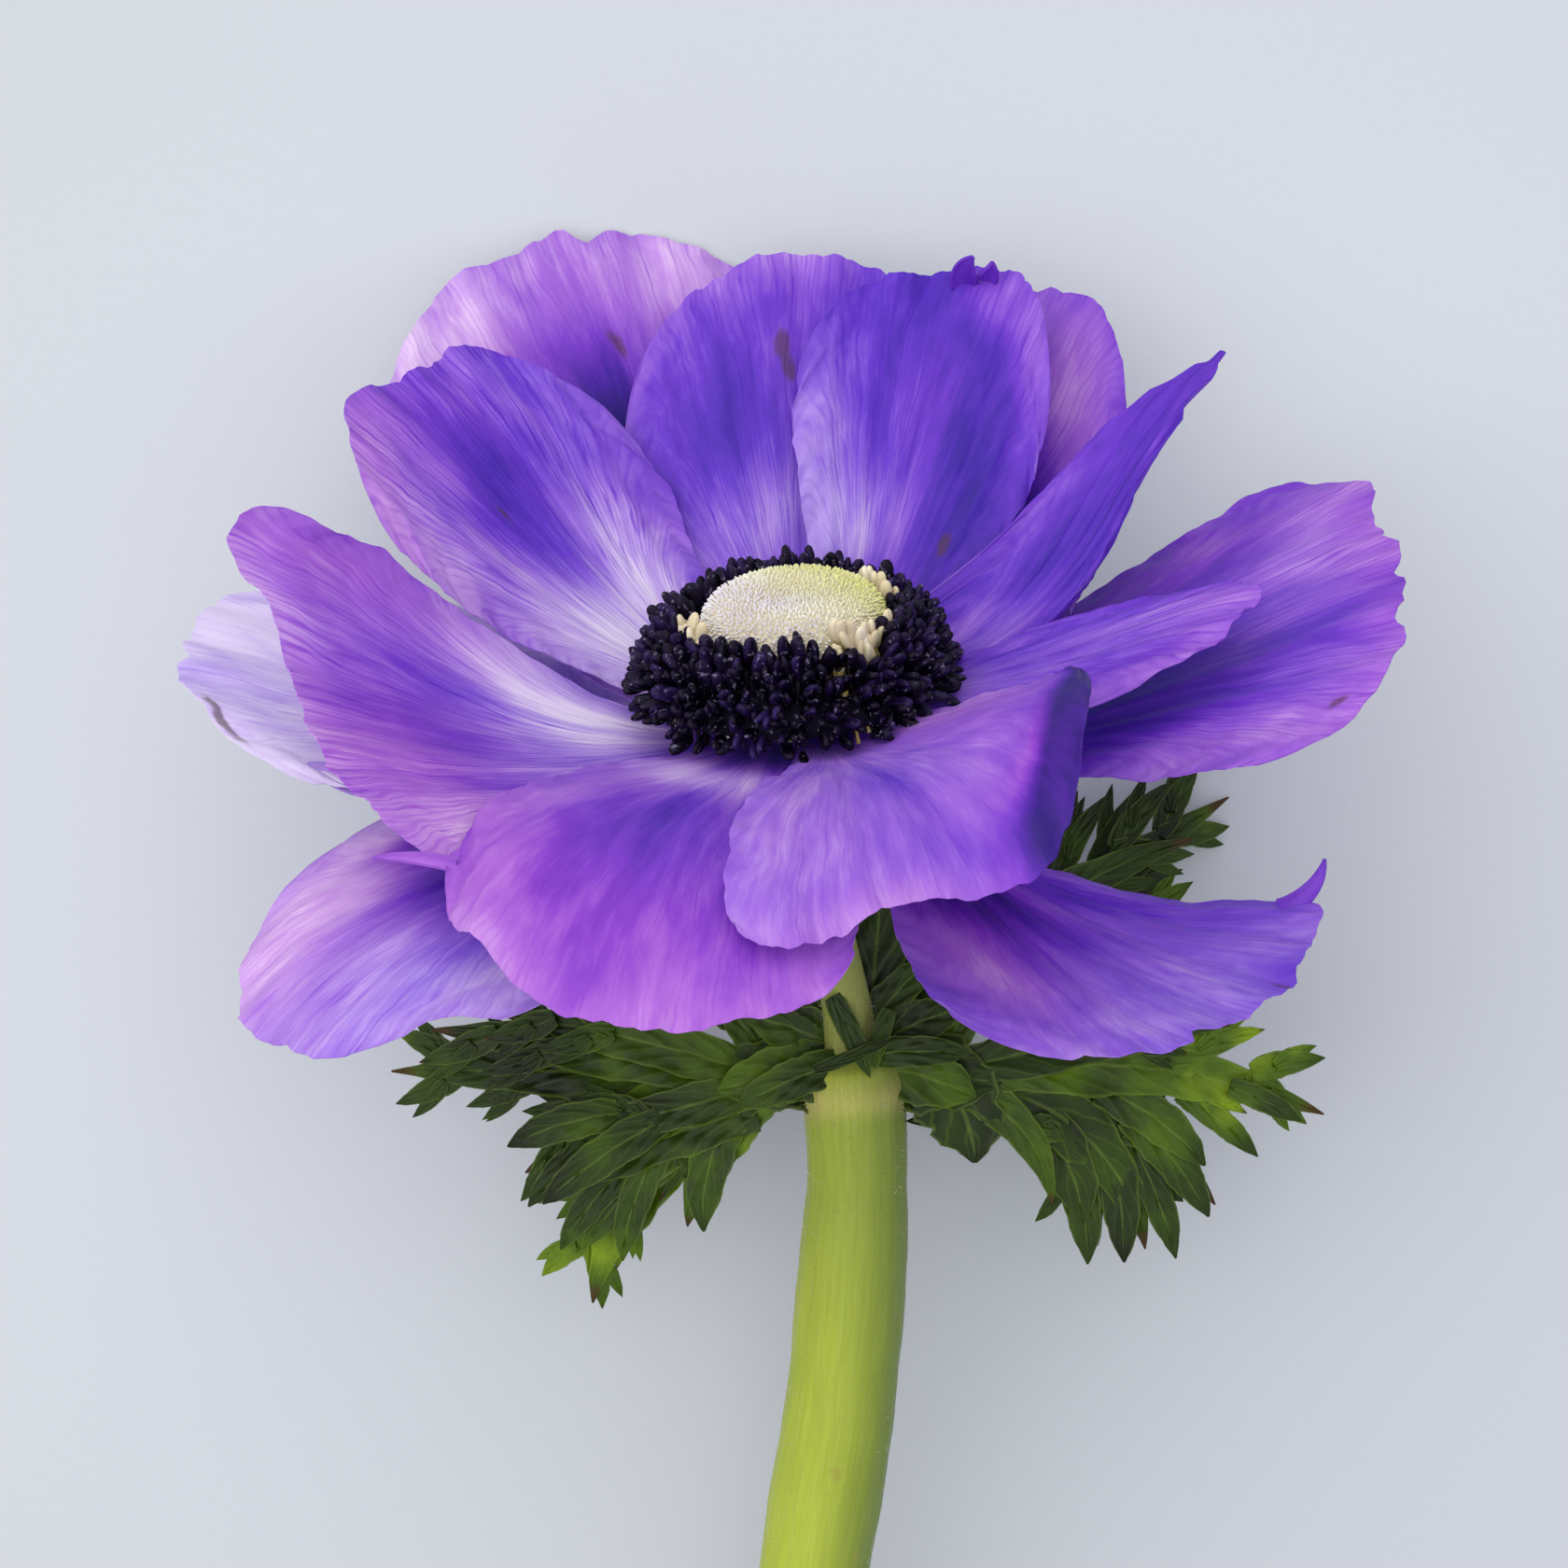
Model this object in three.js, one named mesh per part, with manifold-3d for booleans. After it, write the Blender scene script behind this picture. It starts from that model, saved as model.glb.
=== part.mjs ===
// A cut anemone: bloom of fourteen tepals round a ring of stamens and a carpel dome,
// a thin pedicel rising from a collar of three cut leaves, and a long fleshy scape.
// It lies on its side with +Z up, resting on a back tepal, the back leaf and the cut end.
// Millimetres. The bloom is built in its own frame, axis along +Z, then tilted.
import * as THREE from 'three';
import { mergeVertices } from 'three/addons/utils/BufferGeometryUtils.js';
import Module from 'manifold-3d';

// bloom pose
const BLOOM_ELEVATION = 27; // degrees of the bloom axis above the surface
const BLOOM_LEAN = 4.5; // degrees the axis leans towards -X

// receptacle and heads
const CLAW_START = 5.65;
const DOME_PROFILE = [[4.9, 1.25], [5.9, 2.6], [6.9, 4.6], [7.3, 6.4], [6.7, 7.8], [5.0, 8.4], [2.6, 8.7]];
const DOME_SIDES = 36;
const DOME_RELIEF = 0.16;
const CUSHION_PROFILE = [
  [5.5, 1.15], [7.55, 3.3], [8.6, 4.4], [10.4, 3.9], [11.8, 2.4], [11.6, 1.3], [9.0, 1.1],
];
const CUSHION_SIDES = 28;
const ANTHER_COUNT = 84;
const ANTHER_LENGTH = 3.0;
const ANTHER_WIDTH = 1.25;
const ANTHER_RING = [8.6, 12.2]; // radius from the innermost to the outermost
const ANTHER_HEIGHT = [5.4, 5.1, 3.9, 1.9];
const ANTHER_SPLAY = [10, 30, 55, 80];
const GOLDEN_ANGLE = Math.PI * (3 - Math.sqrt(5));
const DOME_SHIFT = 0.3;
const JOIN_TOLERANCE = 0.03; // edges shorter than this are merged where solids join

// tepals
const TEPAL_THICKNESS = 0.6;
const TEPAL_ROWS = 9;
const TEPAL_COLUMNS = 8;
const CLAW_WIDTH = 4.4;

// Each tepal is a fan: azimuth in the bloom (0 right, 90 back, 180 left, 270 front), height
// of its root, length, the two half widths, flare (1 widens early), then angles in degrees from root to tip:
// lift is the climb of the midline, sweep its turn to the left, twist its roll; curl is the
// climb of each half across the fan and hem the extra roll of its margin. Pairs give the
// counter-clockwise side first. lobes are [place, size, spread] of bulges and nicks.
const TEPALS = {
  tepal_inner_back: {
    azimuth: 86, root: -3.4, length: 45, half: [14, 13], flare: [1.1, 1.1], lift: [5, 30, 38, 28],
    curl: [[0, 0, 5], [0, 0, 0]], shoulder: [0.4, 0.4],
  },
  tepal_inner_back_right: {
    azimuth: 65, root: -2.6, length: 41, half: [11, 10.5], flare: [1.6, 1.1], lift: [8, 33, 39, 28],
    curl: [[20, 30, 30], [0, 20, 50]], shoulder: [0.3, 0.35], twist: [5, 10, 6],
    lobes: [[-0.35, 1.5, 0.3]],
  },
  tepal_inner_back_left: {
    azimuth: 133, root: -3.0, length: 41, half: [14, 12], flare: [1.2, 1.3], lift: [10, 25, 36, 28],
    curl: [[0, 15, 25], [10, 15, 15]], shoulder: [0.35, 0.35], lobes: [[-0.5, 2.5, 0.3], [0.45, 2.2, 0.25]],
  },
  tepal_inner_left: {
    azimuth: 198, root: -3.0, length: 35, half: [15, 17], flare: [1.0, 1.0], lift: [2, 13, 25, 28],
    curl: [[-10, -18, -26], [10, 50, 80]], shoulder: [0.4, 0.15], twist: [0, -6, -8],
    lobes: [[-0.85, 9, 0.4]],
  },
  tepal_inner_front_left: {
    azimuth: 249, root: -1.6, length: 40, half: [16, 16.5], flare: [1.0, 1.0], lift: [3, 12, -12, -40],
    curl: [[0, -12, -36], [10, 20, 0]], hem: [[0], [0, -40, -80]], shoulder: [0.25, 0.35],
    lobes: [[-0.6, -2, 0.3]],
  },
  tepal_inner_front_right: {
    azimuth: 286, root: -0.9, length: 34.5, half: [17.5, 16], flare: [1.0, 1.5], lift: [1, 19, -4, -48],
    curl: [[20, 60, 80], [10, 10, -10]], hem: [[0, -60, -110], [0]], shoulder: [0.5, 0.1],
    lobes: [[-0.15, -2.5, 0.35], [0.85, -3, 0.3]],
  },
  tepal_inner_right: {
    azimuth: 356, root: -1.0, length: 31, half: [5.5, 8], flare: [1.5, 1.1], lift: [6, 15, 18, 14],
    curl: [[10, 0, -20], [0, -10, -30]], shoulder: [0.5, 0.5],
  },
  tepal_inner_right_blade: {
    azimuth: 22, root: -2.0, length: 38, half: [6.5, 3], flare: [1.6, 1.4], lift: [2, 20, 48, 40],
    curl: [[20, 60, 60], [0, 0, 0]], shoulder: [0.75, 0.7], sweep: [0, 8, 8, -14],
    lobes: [[0.1, 3, 0.25]],
  },
  tepal_outer_back_left: {
    azimuth: 109, root: -5.4, length: 54.5, half: [19, 18], flare: [0.9, 1.0], lift: [0, 27, 37, 31],
    curl: [[0, 0, 0], [0, 0, 0]], shoulder: [0.3, 0.35], lobes: [[0.75, -1.5, 0.25], [0.2, -1, 0.15]],
  },
  tepal_outer_back_right: {
    azimuth: 61, root: -4.7, length: 48, half: [12, 14], flare: [1.1, 1.0], lift: [-2, 29, 36, 30],
    curl: [[5, 5, 0], [0, 0, 0]], shoulder: [0.4, 0.6], lobes: [[0.1, -3, 0.5]],
  },
  tepal_outer_right: {
    azimuth: 2, root: -6.6, length: 43, half: [22, 19], flare: [1.15, 1.5], lift: [4, 17, 20, 16],
    curl: [[0, 0, 0], [0, 0, -20]], shoulder: [0.15, 0.35], lobes: [[0.72, 2.6, 0.16], [0.2, 0.5, 0.3]],
  },
  tepal_outer_front_right: {
    azimuth: 312, root: -6.2, length: 40.5, half: [15, 14], flare: [2.4, 2.1], lift: [-14, -14, -8, 8],
    curl: [[0, -10, 20], [0, 0, -10]], shoulder: [0.15, 0.4], lobes: [[0.85, -1, 0.25]],
  },
  tepal_outer_front_left: {
    azimuth: 211, root: -7.4, length: 44, half: [17, 14], flare: [1.1, 1.1], lift: [0, 4, -10, -34],
    curl: [[0, 0, -20], [0, 0, -20]], shoulder: [0.4, 0.4], lobes: [[0.75, -4, 0.2]],
  },
  tepal_outer_left: {
    azimuth: 165, root: -6.4, length: 44, half: [16, 16], flare: [1.1, 1.0], lift: [1, 12, 19, 15],
    curl: [[0, 0, 0], [0, 0, 0]], shoulder: [0.35, 0.35],
  },
};

// stem stations from the receptacle top to the cut end: x, y, z, radius
const STEM_SIDES = 14;
const STEM = [
  [-0.06, 0.8, 0.41, 4.7],
  [-0.03, 0.36, 0.18, 5.3],
  [0.53, -6.75, -3.45, 5.3],
  [0.62, -7.8, -4.0, 4.2],
  [0.8, -9.3, -4.8, 2.7],
  [1.1, -11.5, -5.9, 2.0],
  [2.5, -17.5, -8.7, 1.85],
  [3.9, -23.5, -11.2, 1.9],
  [4.4, -27.2, -12.7, 2.3],
  [4.6, -28.8, -13.3, 3.7],
  [4.7, -30.6, -13.9, 4.3],
  [4.8, -33, -14.5, 3.9],
  [5.0, -38, -15.4, 4.0],
  [4.6, -46, -16.7, 4.25],
  [3.6, -57, -18.4, 4.4],
  [1.6, -70, -20.4, 4.4],
  [-1.0, -90, -23.5, 4.35],
  [-2.8, -115, -27.2, 4.3],
  [-3.6, -145, -31.2, 4.3],
  [-3.7, -172, -33.7, 4.3],
];

// Cut leaves of the collar. Each lobe starts at its root and has a heading and climb in
// degrees, a length, the total turn and droop along it, a width, and pairs of teeth.
const LEAF_THICKNESS = 0.8;
const TOOTH_WIDTH = 2.2;
const TOOTH_ANGLE = 33;
const LOBE_STEPS = 5;
const TOOTH_STEPS = 2;
const LEAVES = {
  leaf_left: {
    root: [-0.9, -30.6, -14.5],
    lobes: [
      { heading: 168, climb: 6, length: 29, turn: 8, droop: 30, width: 4.4, pairs: 2, tooth: 7 },
      { heading: 176, climb: -6, length: 32, turn: 6, droop: 10, width: 4.6, pairs: 3, tooth: 7 },
      { heading: 186, climb: 4, length: 23.5, turn: 30, droop: 40, width: 4.4, pairs: 2, tooth: 7 },
      { heading: 200, climb: -12, length: 26, turn: 62, droop: 10, width: 5.2, pairs: 3, tooth: 7 },
      { heading: 214, climb: -4, length: 15, turn: 48, droop: 24, width: 3.8, pairs: 0, tooth: 0 },
      { heading: 208, climb: 2, length: 14.5, turn: 34, droop: 30, width: 2.2, pairs: 1, tooth: 3 },
      { heading: 160, climb: 16, length: 24, turn: 14, droop: 44, width: 3.8, pairs: 2, tooth: 6 },
      { heading: 192, climb: 18, length: 19, turn: 6, droop: 50, width: 3.4, pairs: 2, tooth: 6 },
      { heading: 122, climb: 14, length: 10, turn: 10, droop: 10, width: 3, pairs: 1, tooth: 4 },
    ],
  },
  leaf_right: {
    root: [10.3, -30.4, -14.5],
    lobes: [
      { heading: 12, climb: 2, length: 33, turn: -36, droop: 20, width: 4.8, pairs: 3, tooth: 7 },
      { heading: 6, climb: -8, length: 27.5, turn: -62, droop: 10, width: 4.6, pairs: 1, tooth: 4 },
      { heading: 2, climb: -2, length: 25.5, turn: -84, droop: 24, width: 5.0, pairs: 2, tooth: 5 },
      { heading: -2, climb: -12, length: 22.5, turn: -88, droop: 10, width: 3.8, pairs: 1, tooth: 4 },
      { heading: -6, climb: 4, length: 15.5, turn: -80, droop: 20, width: 3.2, pairs: 1, tooth: 3 },
      { heading: -30, climb: -6, length: 7.5, turn: -50, droop: 10, width: 4.6, pairs: 0, tooth: 0 },
      { heading: 18, climb: 10, length: 26, turn: -16, droop: 30, width: 4.2, pairs: 2, tooth: 6 },
      { heading: 58, climb: 12, length: 12, turn: 10, droop: 10, width: 3, pairs: 1, tooth: 4 },
    ],
  },
  leaf_back: {
    root: [7.0, -29.4, -17.9],
    lobes: [
      { heading: 54, climb: -16, length: 34.5, turn: -40, droop: 12, width: 4.4, pairs: 3, tooth: 9 },
      { heading: 42, climb: -22.5, length: 41, turn: -12, droop: 12, width: 4.4, pairs: 3, tooth: 9 },
      { heading: 38, climb: -20, length: 31, turn: -36, droop: 10, width: 4.4, pairs: 3, tooth: 8 },
    ],
  },
};

const radians = THREE.MathUtils.degToRad;
const vector = (x, y, z) => new THREE.Vector3(x, y, z);

// Smooth value at x from 0 to 1 through evenly spaced values.
function ease(values, x) {
  const last = values.length - 1;
  if (last === 0) return values[0];
  const place = THREE.MathUtils.clamp(x, 0, 1) * last;
  const index = Math.min(Math.floor(place), last - 1);
  const f = place - index;
  const b = values[index];
  const c = values[index + 1];
  const a = index > 0 ? values[index - 1] : 2 * b - c;
  const d = index + 2 <= last ? values[index + 2] : 2 * c - b;
  return b + 0.5 * f * (c - a + f * (2 * a - 5 * b + 4 * c - d + f * (3 * (b - c) + d - a)));
}

// Closed body from a list of vectors and a list of triangles.
function body(points, triangles) {
  const geometry = new THREE.BufferGeometry();
  geometry.setAttribute('position', new THREE.Float32BufferAttribute(points.flatMap((p) => p.toArray()), 3));
  geometry.setIndex(triangles.flat());
  return geometry;
}

// Plate of even thickness about a grid of points, rows from root to tip.
function plate(grid, thickness) {
  const rows = grid.length;
  const columns = grid[0].length;
  const points = [];
  const triangles = [];
  const at = (side, i, j) => (side * rows + i) * columns + j;
  for (const side of [0, 1]) {
    for (let i = 0; i < rows; i += 1) {
      for (let j = 0; j < columns; j += 1) {
        const along = grid[Math.min(i + 1, rows - 1)][j].clone().sub(grid[Math.max(i - 1, 0)][j]);
        const across = grid[i][Math.min(j + 1, columns - 1)].clone().sub(grid[i][Math.max(j - 1, 0)]);
        const normal = along.cross(across).normalize();
        points.push(grid[i][j].clone().addScaledVector(normal, (side - 0.5) * thickness));
      }
    }
  }
  for (let i = 0; i < rows - 1; i += 1) {
    for (let j = 0; j < columns - 1; j += 1) {
      triangles.push([at(1, i, j), at(1, i + 1, j), at(1, i + 1, j + 1)]);
      triangles.push([at(1, i, j), at(1, i + 1, j + 1), at(1, i, j + 1)]);
      triangles.push([at(0, i, j), at(0, i + 1, j + 1), at(0, i + 1, j)]);
      triangles.push([at(0, i, j), at(0, i, j + 1), at(0, i + 1, j + 1)]);
    }
  }
  const rim = [];
  for (let j = 0; j < columns; j += 1) rim.push([0, j]);
  for (let i = 1; i < rows; i += 1) rim.push([i, columns - 1]);
  for (let j = columns - 2; j >= 0; j -= 1) rim.push([rows - 1, j]);
  for (let i = rows - 2; i > 0; i -= 1) rim.push([i, 0]);
  rim.forEach(([i, j], index) => {
    const [k, l] = rim[(index + 1) % rim.length];
    triangles.push([at(0, i, j), at(1, i, j), at(1, k, l)]);
    triangles.push([at(0, i, j), at(1, k, l), at(0, k, l)]);
  });
  return body(points, triangles);
}

// Mid-surface of a tepal in the bloom frame.
function tepalGrid(tepal, rows, columns) {
  const { length, lift, curl, shoulder } = tepal;
  const sweep = tepal.sweep ?? [0];
  const twist = tepal.twist ?? [0];
  const hem = tepal.hem ?? [[0], [0]];
  const [ruffle, waves, phase] = tepal.ruffle ?? [0, 0, 0];
  const outward = vector(Math.cos(radians(tepal.azimuth)), Math.sin(radians(tepal.azimuth)), 0);
  const leftward = vector(-outward.y, outward.x, 0);
  const spineSteps = 120;
  const reach = 1.2;
  const spine = [];
  let point = outward.clone().multiplyScalar(CLAW_START).setZ(tepal.root);
  for (let step = 0; step <= spineSteps; step += 1) {
    const place = Math.min((step / spineSteps) * reach, 1);
    const turn = radians(ease(sweep, place));
    const climb = radians(ease(lift, place));
    const roll = radians(ease(twist, place));
    const heading = outward.clone().multiplyScalar(Math.cos(turn)).addScaledVector(leftward, Math.sin(turn));
    const tangent = heading.clone().multiplyScalar(Math.cos(climb)).setZ(Math.sin(climb));
    const level = vector(-heading.y, heading.x, 0);
    const normal = tangent.clone().cross(level);
    const side = level.clone().multiplyScalar(Math.cos(roll)).addScaledVector(normal, Math.sin(roll));
    const up = normal.clone().multiplyScalar(Math.cos(roll)).addScaledVector(level, -Math.sin(roll));
    spine.push({ point: point.clone(), side, up });
    point = point.clone().addScaledVector(tangent, (length * reach) / spineSteps);
  }
  const grid = [];
  for (let i = 0; i <= rows; i += 1) {
    const s = i / rows;
    const row = [];
    for (let j = 0; j <= columns; j += 1) {
      const t = Math.sin((Math.PI / 2) * ((2 * j) / columns - 1));
      const size = Math.abs(t);
      const hand = t > 0 ? 0 : 1;
      const spread = Math.sin((Math.PI / 2) * s ** tepal.flare[hand]);
      const half = CLAW_WIDTH / 2 + (tepal.half[hand] - CLAW_WIDTH / 2) * spread;
      let tip = 1 - shoulder[hand] * (1 - Math.sqrt(Math.max(0, 1 - t * t)));
      for (const [place, bulge, reachOfLobe] of tepal.lobes ?? []) {
        tip += (bulge / length) * Math.exp(-(((t - place) / reachOfLobe) ** 2));
      }
      const along = s * tip;
      const climb = radians(ease(curl[hand], along));
      const roll = radians(ease(hem[hand], along));
      let across = 0;
      let rise = 0;
      const cuts = 12;
      for (let cut = 0; cut < cuts; cut += 1) {
        const u = (size * (cut + 0.5)) / cuts;
        const angle = climb * u + roll * THREE.MathUtils.smoothstep(u, 0.55, 0.95);
        across += (Math.cos(angle) * size * half) / cuts;
        rise += (Math.sin(angle) * size * half) / cuts;
      }
      rise += ruffle * s ** 2.5 * Math.sin(Math.PI * waves * t + phase) * (0.35 + 0.65 * size);
      const place = Math.min((along / reach) * spineSteps, spineSteps - 1e-6);
      const low = spine[Math.floor(place)];
      const high = spine[Math.floor(place) + 1];
      const f = place - Math.floor(place);
      const mix = (key) => low[key].clone().lerp(high[key], f);
      const aside = mix('side').multiplyScalar(Math.sign(t) * across);
      row.push(mix('point').add(aside).addScaledVector(mix('up'), rise));
    }
    grid.push(row);
  }
  return grid;
}

const rightward = vector(1, 0, 0);
const axis = vector(0, Math.cos(radians(BLOOM_ELEVATION)), Math.sin(radians(BLOOM_ELEVATION)));
const bloomPose = new THREE.Matrix4()
  .makeRotationZ(radians(BLOOM_LEAN))
  .multiply(new THREE.Matrix4().makeBasis(rightward, axis.clone().cross(rightward), axis));

const flower = new THREE.Group();
flower.name = 'anemone_flower';

function addPiece(name, geometry, colour, roughness) {
  const material = new THREE.MeshStandardMaterial({ color: colour, roughness, metalness: 0 });
  const mesh = new THREE.Mesh(geometry, material);
  mesh.name = name;
  flower.add(mesh);
}

for (const [name, tepal] of Object.entries(TEPALS)) {
  const grid = tepalGrid(tepal, TEPAL_ROWS, TEPAL_COLUMNS);
  const posed = grid.map((row) => row.map((p) => p.applyMatrix4(bloomPose)));
  addPiece(name, plate(posed, TEPAL_THICKNESS), 0x6b3fc4, 0.6);
}

// Closed body through rings of points with a point at each end.
function capped(first, rings, last) {
  const sides = rings[0].length;
  const points = [first, ...rings.flat(), last];
  const end = points.length - 1;
  const at = (ring, side) => 1 + ring * sides + (side % sides);
  const triangles = [];
  for (let side = 0; side < sides; side += 1) {
    triangles.push([0, at(0, side), at(0, side + 1)]);
    for (let ring = 0; ring < rings.length - 1; ring += 1) {
      triangles.push([at(ring, side), at(ring + 1, side), at(ring + 1, side + 1)]);
      triangles.push([at(ring, side), at(ring + 1, side + 1), at(ring, side + 1)]);
    }
    triangles.push([end, at(rings.length - 1, side + 1), at(rings.length - 1, side)]);
  }
  return body(points, triangles);
}

// Stem: receptacle, pedicel, collar and scape grown as one.
const stemRings = STEM.map(([x, y, z, radius], index) => {
  const before = vector(...STEM[Math.max(index - 1, 0)]);
  const after = vector(...STEM[Math.min(index + 1, STEM.length - 1)]);
  const along = after.sub(before).normalize();
  const side = vector(1, 0, 0).addScaledVector(along, -along.x).normalize();
  const up = side.clone().cross(along);
  const ring = [];
  for (let step = 0; step < STEM_SIDES; step += 1) {
    const angle = (2 * Math.PI * step) / STEM_SIDES;
    const offset = side.clone().multiplyScalar(Math.cos(angle)).addScaledVector(up, Math.sin(angle));
    ring.push(vector(x, y, z).addScaledVector(offset, radius));
  }
  return ring;
});
const stemCentre = (index) => vector(...STEM.at(index).slice(0, 3));
addPiece('stem', capped(stemCentre(0), stemRings, stemCentre(-1)), 0x8da02a, 0.7);

// Rings of a profile of [radius, height] turned about the bloom axis.
function turnedRings(profile, sides, relief) {
  return profile.map(([radius, height], index) => {
    const ring = [];
    for (let step = 0; step < sides; step += 1) {
      const angle = (2 * Math.PI * step) / sides;
      const reach = radius + relief(index, step);
      ring.push(vector(reach * Math.cos(angle), reach * Math.sin(angle), height));
    }
    return ring;
  });
}

// Carpel dome: low papillae set in crossing spirals.
const papillae = (index, step) => (index > 0 && (index + step) % 2 ? DOME_RELIEF : 0);
const domeRings = turnedRings(DOME_PROFILE, DOME_SIDES, papillae);
const domeFoot = vector(0, 0, DOME_PROFILE[0][1]);
const domeTop = vector(0, 0, DOME_PROFILE.at(-1)[1] + 0.05);
const dome = capped(domeTop, domeRings.reverse(), domeFoot);
addPiece('carpels', dome.translate(DOME_SHIFT, 0, 0).applyMatrix4(bloomPose), 0xd8d2b0, 0.6);

const wasm = await Module();
wasm.setup();

function solid(geometry) {
  const bare = geometry.clone();
  for (const key of Object.keys(bare.attributes)) {
    if (key !== 'position') bare.deleteAttribute(key);
  }
  const welded = mergeVertices(bare, 1e-4);
  const mesh = new wasm.Mesh({
    numProp: 3,
    vertProperties: new Float32Array(welded.attributes.position.array),
    triVerts: new Uint32Array(welded.index.array),
  });
  return new wasm.Manifold(mesh);
}

function joined(geometries) {
  const whole = geometries.map(solid).reduce((sum, next) => sum.add(next));
  const mesh = whole.simplify(JOIN_TOLERANCE).getMesh();
  const geometry = new THREE.BufferGeometry();
  geometry.setAttribute('position', new THREE.BufferAttribute(new Float32Array(mesh.vertProperties), 3));
  geometry.setIndex(new THREE.BufferAttribute(new Uint32Array(mesh.triVerts), 1));
  return geometry;
}

// Stamens: anthers crowded on a ring cushion, upright inside and splayed outside.
const cushionSection = [...CUSHION_PROFILE, CUSHION_PROFILE[0]].map(([r, h]) => new THREE.Vector2(r, h));
const cushion = new THREE.LatheGeometry(cushionSection.reverse(), CUSHION_SIDES).rotateX(Math.PI / 2);
const anthers = [];
for (let index = 0; index < ANTHER_COUNT; index += 1) {
  const place = (index + 0.5) / ANTHER_COUNT;
  const azimuth = index * GOLDEN_ANGLE;
  const radius = ANTHER_RING[0] + (ANTHER_RING[1] - ANTHER_RING[0]) * place;
  const splay = radians(ease(ANTHER_SPLAY, place));
  const anther = new THREE.IcosahedronGeometry(1, 0)
    .scale(ANTHER_WIDTH / 2, ANTHER_WIDTH / 2, ANTHER_LENGTH / 2)
    .rotateY(splay)
    .translate(radius, 0, ease(ANTHER_HEIGHT, place))
    .rotateZ(azimuth);
  anthers.push(anther);
}
addPiece('stamens', joined([cushion, ...anthers]).applyMatrix4(bloomPose), 0x17101f, 0.5);

// Spine of a leaf lobe or tooth: stations with a point, a side and their angles.
function leafSpine({ start, heading, climb, length, turn, droop, steps }) {
  const spine = [];
  let point = start.clone();
  for (let step = 0; step <= steps; step += 1) {
    const place = step / steps;
    const yaw = heading + turn * place;
    const pitch = climb - droop * place;
    const level = Math.cos(radians(pitch));
    const side = vector(-Math.sin(radians(yaw)), Math.cos(radians(yaw)), 0);
    spine.push({ point: point.clone(), side, yaw, pitch });
    const ahead = vector(side.y * level, -side.x * level, Math.sin(radians(pitch)));
    point = point.clone().addScaledVector(ahead, length / steps);
  }
  return spine;
}

function leafBlade(spine, width, outline) {
  const grid = spine.map(({ point, side }, index) => {
    const half = (width / 2) * ease(outline, index / (spine.length - 1));
    return [point.clone().addScaledVector(side, -half), point.clone().addScaledVector(side, half)];
  });
  return plate(grid, LEAF_THICKNESS);
}

for (const [name, leaf] of Object.entries(LEAVES)) {
  const blades = [];
  for (const lobe of leaf.lobes) {
    const spine = leafSpine({ ...lobe, start: vector(...leaf.root), steps: LOBE_STEPS });
    blades.push(leafBlade(spine, lobe.width, [0.8, 1, 1, 0.85, 0.15]));
    for (let pair = 0; pair < lobe.pairs; pair += 1) {
      for (const hand of [-1, 1]) {
        const place = 0.5 + (0.36 * (pair + (hand > 0 ? 0.4 : 0))) / lobe.pairs;
        const base = spine[Math.round(place * LOBE_STEPS)];
        const tooth = leafSpine({
          start: base.point,
          heading: base.yaw + hand * TOOTH_ANGLE,
          climb: base.pitch + 4 * hand,
          length: lobe.tooth * (1.3 - 0.6 * place),
          turn: -hand * 14,
          droop: 14,
          steps: TOOTH_STEPS,
        });
        blades.push(leafBlade(tooth, TOOTH_WIDTH, [0.9, 1, 0.15]));
      }
    }
  }
  addPiece(name, joined(blades), 0x5c7a26, 0.7);
}

// Rest the lowest points on the surface with the footprint centred on the origin.
const bounds = new THREE.Box3().setFromObject(flower);
const middle = bounds.getCenter(vector(0, 0, 0));
for (const piece of flower.children) piece.geometry.translate(-middle.x, -middle.y, -bounds.min.z);

export default flower;
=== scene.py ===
import math

import bpy
import numpy as np
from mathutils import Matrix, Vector


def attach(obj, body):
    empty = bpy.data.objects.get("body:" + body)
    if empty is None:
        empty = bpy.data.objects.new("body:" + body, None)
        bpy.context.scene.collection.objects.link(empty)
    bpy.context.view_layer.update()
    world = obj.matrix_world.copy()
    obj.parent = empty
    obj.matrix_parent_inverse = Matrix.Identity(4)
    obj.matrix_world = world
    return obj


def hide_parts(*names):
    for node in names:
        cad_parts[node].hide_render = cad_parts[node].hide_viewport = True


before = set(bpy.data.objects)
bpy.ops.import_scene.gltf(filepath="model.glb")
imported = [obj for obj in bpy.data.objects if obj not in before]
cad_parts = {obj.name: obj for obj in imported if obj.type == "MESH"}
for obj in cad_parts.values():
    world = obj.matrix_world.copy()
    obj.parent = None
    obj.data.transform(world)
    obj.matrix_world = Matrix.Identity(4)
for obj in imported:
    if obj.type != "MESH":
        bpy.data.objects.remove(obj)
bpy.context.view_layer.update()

rng = np.random.default_rng(7)

MM = 0.001
TURN = 2 * math.pi
UP = np.array([0, 0, 1.0])
GOLDEN_ANGLE = math.pi * (3 - math.sqrt(5))
# the bloom's middle in the row frame in mm, its axis over the surface and its lean in degrees
BLOOM_CENTRE = np.array([0.425, 66.713, 37.875])
BLOOM_ELEVATION = 27
BLOOM_LEAN = 4.5


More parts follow.
